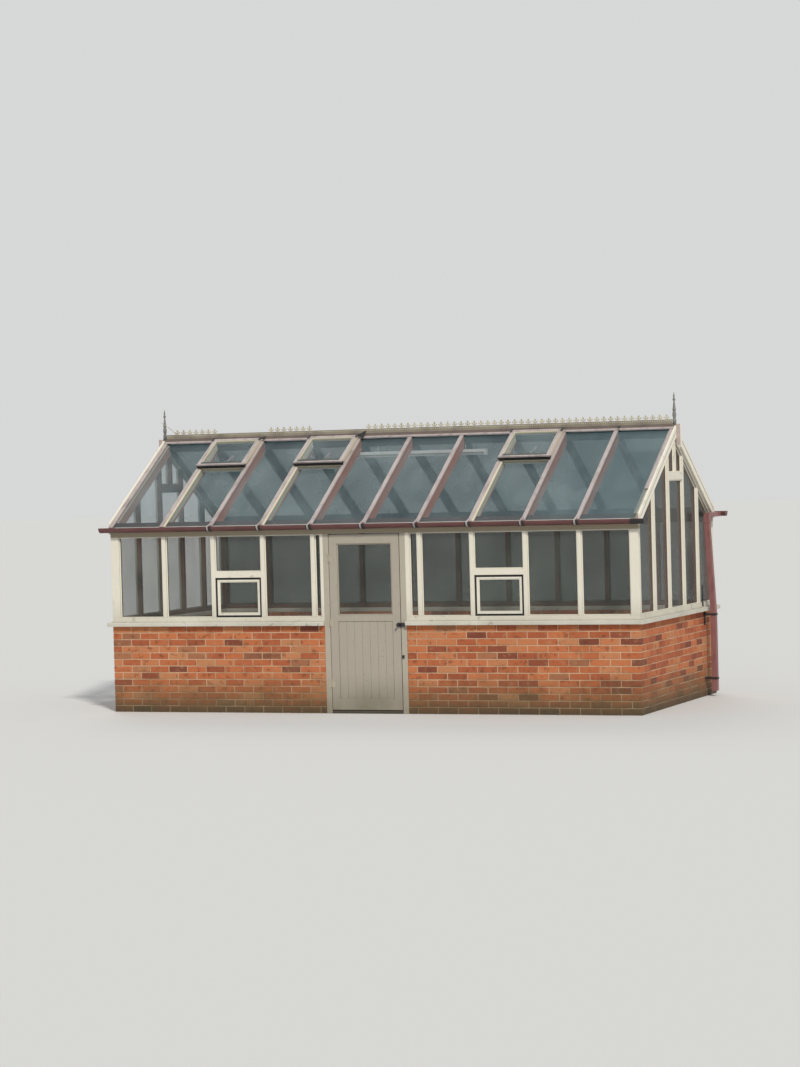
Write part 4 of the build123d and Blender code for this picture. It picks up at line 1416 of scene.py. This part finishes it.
@dataclass
class Rainwater:
    """Gutters, their brackets and straps, and the downpipe.

    Attributes:
        centre_y: From the middle of the house to the middle of a gutter.
        radius: Outer radius of the gutters.
        step: Degrees of a half ring to one of its faces.
        union: Outer radius of the brackets under them.
        union_width: Width of those brackets.
        strap: Width of the pale straps over them.
        strap_thickness: Thickness of the straps under a gutter.
        strap_arc: Where those end, in degrees, past 180 at the outer rim.
        strap_rim: From the middle of a gutter out to the straps over it.
        strap_half: Half the thickness of the straps over a gutter.
        strap_lap: From the foot of the roof glass up to the end of those straps.
        strap_rise: Height of that end over the bar caps.
        stop_x: Middle of the black union at the front gutter's right end.
        stop_width: Its width.
        stop_radius: Its outer radius.
        half_pipe: Half the width of the downpipe.
        half_socket: Half the width of its socket.
        socket: From the pipe's top down to the socket's foot and top.
        conduits: From a gable's brick face out, place in Y, top and foot of each length of conduit.
        conduit: Radius of the conduit.
    """

    house: House
    centre_y: float = 1.506
    radius: float = 0.052
    step: float = 12.0
    union: float = 0.0552
    union_width: float = 0.066
    strap: float = 0.018
    strap_thickness: float = 0.0008
    strap_arc: float = 246.0
    strap_rim: float = 0.0548
    strap_half: float = 0.0012
    strap_lap: float = 0.050
    strap_rise: float = 0.0015
    stop_x: float = 3.090
    stop_width: float = 0.150
    stop_radius: float = 0.0550
    half_pipe: float = 0.0325
    half_socket: float = 0.037
    socket: tuple[float, float] = (0.115, 0.060)
    conduits: tuple[tuple[float, float, float, float], ...] = (
        (0.006, 0.93, 1.25, 1.005), (0.009, 0.985, 0.955, 0.80))
    conduit: float = 0.009

    def build(self) -> None:
        """Build and dress the rainwater goods."""
        for node in ("front_gutter", "back_gutter"):
            dress(node, GUTTER_METAL)
        eased("gutter_outlet", Body.HOUSE, PIPE_METAL_SUNLIT, "gutter_paint")
        eased("downpipe", Body.HOUSE, PIPE_METAL_SUNLIT, "gutter_paint", 0.005)
        dress("pipe_clips", BLACK_METAL)
        self.brackets()
        self.stop_end()
        self.lips()
        self.pipe_fittings()

    def half_ring(self, work: Work, side: int, x: float, width: float, inner: float, outer: float,
                  end: float = 360.0) -> None:
        """Add a half ring under a gutter, or a part of one from its outer rim.

        Args:
            work: The mesh that it is added to.
            side: -1 in front, 1 behind.
            x: Middle of its width.
            width: Width along the gutter.
            inner: Inner radius.
            outer: Outer radius.
            end: Where it ends, in degrees, past 180 at the outer rim.
        """
        known = set(work.mesh.verts)
        a, b = x - width / 2, x + width / 2
        ring = [work.mesh.verts.new((across, -r, 0.0))
                for across, r in ((a, inner), (b, inner), (b, outer), (a, outer))]
        face = work.mesh.faces.new(ring)
        arc = end - 180.0
        steps = max(3, round(arc / self.step))
        bmesh.ops.spin(work.mesh, geom=[face], cent=(0, 0, 0), axis=(1, 0, 0), angle=math.radians(arc),
                       steps=steps)
        fresh = [v for v in work.mesh.verts if v not in known]
        flip = Matrix.Diagonal((1.0, -float(side), 1.0, 1.0))
        place = Matrix.Translation((0, side * self.centre_y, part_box("front_gutter")[1].z))
        bmesh.ops.transform(work.mesh, matrix=place @ flip, verts=fresh)

    def brackets(self) -> None:
        """Build the black brackets and the pale straps over them."""
        h = self.house
        black, pale = Work(), Work()
        rim_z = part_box("front_gutter")[1].z + 0.0005
        outer = self.union + self.strap_thickness
        half, thin = self.strap / 2, self.strap_half
        for side, lines in ((-1, h.bars[2:-1]), (1, h.bars[1:-1])):
            for x in lines:
                self.half_ring(black, side, x, self.union_width, self.radius, self.union)
                self.half_ring(pale, side, x - half, self.strap, self.union, outer, self.strap_arc)
                foot = h.on_slope(side, x - half, h.slope - self.strap_lap, self.strap_rise)
                rim = Vector((x - half, side * (self.centre_y + self.strap_rim), rim_z))
                along = (rim - foot).normalized()
                across = Vector((1, 0, 0))
                turn = Matrix((across, along, across.cross(along))).transposed().to_4x4()
                pale.block((-half, 0.0, -thin), (half, (rim - foot).length, thin), turn, foot)
        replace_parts(black.part("gutter_unions", Body.HOUSE, BLACK_METAL, "black_iron"), "gutter_brackets")
        pale.part("gutter_straps", Body.HOUSE, CAP_METAL, "cap_strip")

    def stop_end(self) -> None:
        """Build the black union and stop end at the front gutter's right end."""
        work = Work()
        low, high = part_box("front_gutter")
        end = self.stop_x + self.stop_width / 2
        near, far, edge = end + 0.0005, end + 0.0035, 0.002
        self.half_ring(work, -1, self.stop_x, self.stop_width, self.radius, self.stop_radius)
        work.block((near, low.y - edge, low.z - edge), (far, high.y + edge, high.z + edge / 2))
        work.part("gutter_stop", Body.HOUSE, BLACK_METAL, "black_iron")

    def lips(self) -> None:
        """Build the rolled outer rims of the gutters."""
        work = Work()
        lip = 0.004
        for node, side in (("front_gutter", -1), ("back_gutter", 1)):
            low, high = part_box(node)
            y = side * (self.centre_y + self.radius - lip)
            work.rod((low.x, y, high.z), (high.x, y, high.z), lip)
        work.part("gutter_lips", Body.HOUSE, GUTTER_METAL, "gutter_paint", smooth=True)

    def pipe_fittings(self) -> None:
        """Build the socket under the outlet and the black conduit beside the pipe."""
        low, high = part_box("downpipe")
        x, y = low.x + self.half_pipe, (low.y + high.y) / 2
        half, (foot, top) = self.half_socket, self.socket
        socket = Work()
        socket.block((x - half, y - half, high.z - foot), (x + half, y + half, high.z - top))
        socket.ease_edges(0.004)
        socket.part("pipe_socket", Body.HOUSE, PIPE_METAL_SUNLIT, "gutter_paint")
        line = Work()
        for off, y, top, foot in self.conduits:
            x = self.house.half_length + off
            line.rod((x, y, top), (x, y, foot), self.conduit)
        line.part("black_conduit", Body.HOUSE, BLACK_METAL, "black_iron", smooth=True)


@dataclass
class Door:
    """The hinged door, its frame and its ironmongery.

    Attributes:
        boards: Number of boards in the lower panel.
        board_gap: Gap between two boards.
        groove: Width of a board's bevelled edge.
        bead: Width of the beads round the glass.
        screw_inset: From a hinge plate's outer edge to its screws.
        screw_proud: From the brick face out to the middle of a screw head.
        screw_head: Size of a screw head along each axis.
        screw_shares: Places of the screws up a hinge, as shares of its height.
    """

    house: House
    boards: int = 7
    board_gap: float = 0.0008
    groove: float = 0.0045
    bead: float = 0.012
    screw_inset: float = 0.014
    screw_proud: float = 0.003
    screw_head: tuple[float, float, float] = (0.0045, 0.0015, 0.0045)
    screw_shares: tuple[float, ...] = (0.15, 0.5, 0.85)

    def build(self) -> None:
        """Build and dress the door."""
        eased("door_jambs", Body.HOUSE, JAMB_PAINT, "door_paint")
        eased("door_leaf", Body.DOOR, DOOR_PAINT, "door_paint")
        eased("threshold", Body.HOUSE, STEP_WOOD, "threshold_wood", 0.004)
        for node, finish in (("door_glass", WALL_PANE_SHADED), ("jamb_hinges", HINGE_PAINT),
                             ("leaf_hinges", HINGE_PAINT), ("door_latch", BLACK_METAL),
                             ("jamb_keeper", BLACK_METAL)):
            dress(node, finish)
        self.panel()
        self.beads()
        self.hinge_screws()

    def panel(self) -> None:
        """Build the grooved boards of the lower panel."""
        low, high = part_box("door_panel")
        work = Work()
        width = (high.x - low.x) / self.boards
        for i in range(self.boards):
            a, b = low.x + i * width + self.board_gap / 2, low.x + (i + 1) * width - self.board_gap / 2
            work.block((a, low.y, low.z), (b, high.y, high.z))
        upright = [e for e in work.mesh.edges if abs(e.verts[0].co.z - e.verts[1].co.z) > 0.1]
        bmesh.ops.bevel(work.mesh, geom=upright, offset=self.groove, offset_type="OFFSET", affect="EDGES",
                        segments=1, profile=0.5, material=-1)
        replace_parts(work.part("door_boards", Body.DOOR, DOOR_PAINT, "door_paint"), "door_panel")

    def beads(self) -> None:
        """Build the beads around the door's glass, on both sides."""
        low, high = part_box("door_glass")
        work = Work()
        for y in (low.y - self.bead, high.y):
            work.border((low.x, y, low.z), (high.x, y + self.bead, high.z), self.bead)
        work.ease_edges(0.003, 1)
        work.part("door_beads", Body.DOOR, DOOR_PAINT, "door_paint")

    def hinge_screws(self) -> None:
        """Build the screw heads of the hinges, three in each plate."""
        y = -self.house.half_depth - self.screw_proud
        for name, node, body in (("jamb_screws", "jamb_hinges", Body.HOUSE),
                                 ("leaf_screws", "leaf_hinges", Body.DOOR)):
            work = Work()
            for low, high in solids(node):
                x = low.x + self.screw_inset if body is Body.HOUSE else high.x - self.screw_inset
                for share in self.screw_shares:
                    work.dome((x, y, low.z + share * (high.z - low.z)), self.screw_head)
            work.part(name, body, HINGE_PAINT, "hinge_paint", smooth=True)


@dataclass
class Lamp:
    """The white batten lamp under the ridge."""

    def build(self) -> None:
        """Dress the lamp."""
        eased("lamp_batten", Body.HOUSE, LAMP_WHITE, "lamp_white")
        dress("lamp_tube", LAMP_WHITE)


@dataclass(frozen=True)
class Studio:
    """Floor, background, lights and the camera of the photograph.

    Attributes:
        focal_px: Focal length in pixels of the photograph.
        frame_px: Height of the photograph in pixels.
        sensor: Longer side of the camera's sensor in mm.
        place: Where the camera stands.
        pitch: How far it looks up, in degrees.
        roll: How far it leans, in degrees.
        turn: How far it turns to the left, in degrees.
        fill: Strength of the world's light on the house.
        back: Strength of the background.
        fill_tone: Colour of the world's light on the house.
        back_tone: Colour of the background.
        sun_tone: Colour of the sun lamps.
        suns: Name, strength, spread in degrees and direction of each sun lamp.
        floor_radius: Radius of the floor.
        floor_drop: How far the floor lies under the walls' foot.
    """

    focal_px: float = 2902.5
    frame_px: float = 1067.0
    sensor: float = 36.0
    place: tuple[float, float, float] = (11.908, -30.395, 2.683)
    pitch: float = -1.365
    roll: float = 1.525
    turn: float = 21.665
    fill: float = 0.38
    back: float = 0.70
    fill_tone: Colour = (0.90, 0.95, 1.0, 1.0)
    back_tone: Colour = (0.97, 0.975, 0.98, 1.0)
    sun_tone: tuple[float, float, float] = (1.0, 0.965, 0.91)
    suns: tuple[tuple[str, float, float, tuple[float, float, float]], ...] = (
        ("key", 2.4, 6.0, (0.62, -0.80, 0.86)), ("rim", 0.5, 30.0, (-0.5, 0.9, 0.9)))
    floor_radius: float = 140.0
    floor_drop: float = 0.0005

    def build(self) -> None:
        """Build the studio."""
        self.floor()
        self.background()
        self.lights()
        self.camera()

    def floor(self) -> None:
        """Lay the floor."""
        data = bpy.data.meshes.new("floor")
        work = bmesh.new()
        bmesh.ops.create_circle(work, cap_ends=True, segments=96, radius=self.floor_radius,
                                matrix=Matrix.Translation((0, 0, -self.floor_drop)))
        work.to_mesh(data)
        work.free()
        made = bpy.data.objects.new("floor", data)
        data.materials.append(Ground("floor_pale").material())
        bpy.context.scene.collection.objects.link(made)

    def background(self) -> None:
        """Set a pale background with a plain fill light."""
        world = bpy.data.worlds.new("studio")
        bpy.context.scene.world = world
        bench = Bench(world, "BACKGROUND")
        rays = [bench.node("ShaderNodeLightPath", {}, {}, f"Is {kind} Ray")
                for kind in ("Camera", "Glossy", "Transmission")]
        seen = rays[0].math("MAXIMUM", rays[1]).math("MAXIMUM", rays[2])
        bench.set(Color=bench.blend(seen, self.fill_tone, self.back_tone))
        bench.set(Strength=self.fill + (self.back - self.fill) * seen)

    def lights(self) -> None:
        """Hang a soft key light at the front right and a weak one behind."""
        for name, energy, spread, source in self.suns:
            data = bpy.data.lights.new(name, "SUN")
            data.energy = energy
            data.angle = math.radians(spread)
            data.color = self.sun_tone
            lamp = bpy.data.objects.new(name, data)
            lamp.rotation_mode = "QUATERNION"
            lamp.rotation_quaternion = Vector(source).to_track_quat("Z", "Y")
            bpy.context.scene.collection.objects.link(lamp)

    def camera(self) -> None:
        """Set the camera as the photograph's stood."""
        data = bpy.data.cameras.new("camera")
        data.sensor_width = self.sensor
        data.lens = self.focal_px / self.frame_px * self.sensor
        data.clip_end = 500.0
        made = bpy.data.objects.new("camera", data)
        view = Matrix.Translation(self.place)
        for degrees, axis in ((self.turn, "Z"), (self.pitch, "X"), (self.roll, "Y"), (90.0, "X")):
            view = view @ Matrix.Rotation(math.radians(degrees), 4, axis)
        made.matrix_world = view
        bpy.context.scene.collection.objects.link(made)
        bpy.context.scene.camera = made


def main() -> None:
    """Build the greenhouse and the studio."""
    logging.basicConfig(level=logging.INFO, format="%(message)s")
    bpy.context.scene.view_settings.view_transform = "Standard"
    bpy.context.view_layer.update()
    house = House.read()
    for piece in (BrickBase(house), Frame(house), Roof(house), Ridge(house), Rainwater(house), Door(house),
                  Lamp(), Studio()):
        LOG.info("building %s", type(piece).__name__)
        piece.build()


if __name__ == "__main__":
    main()
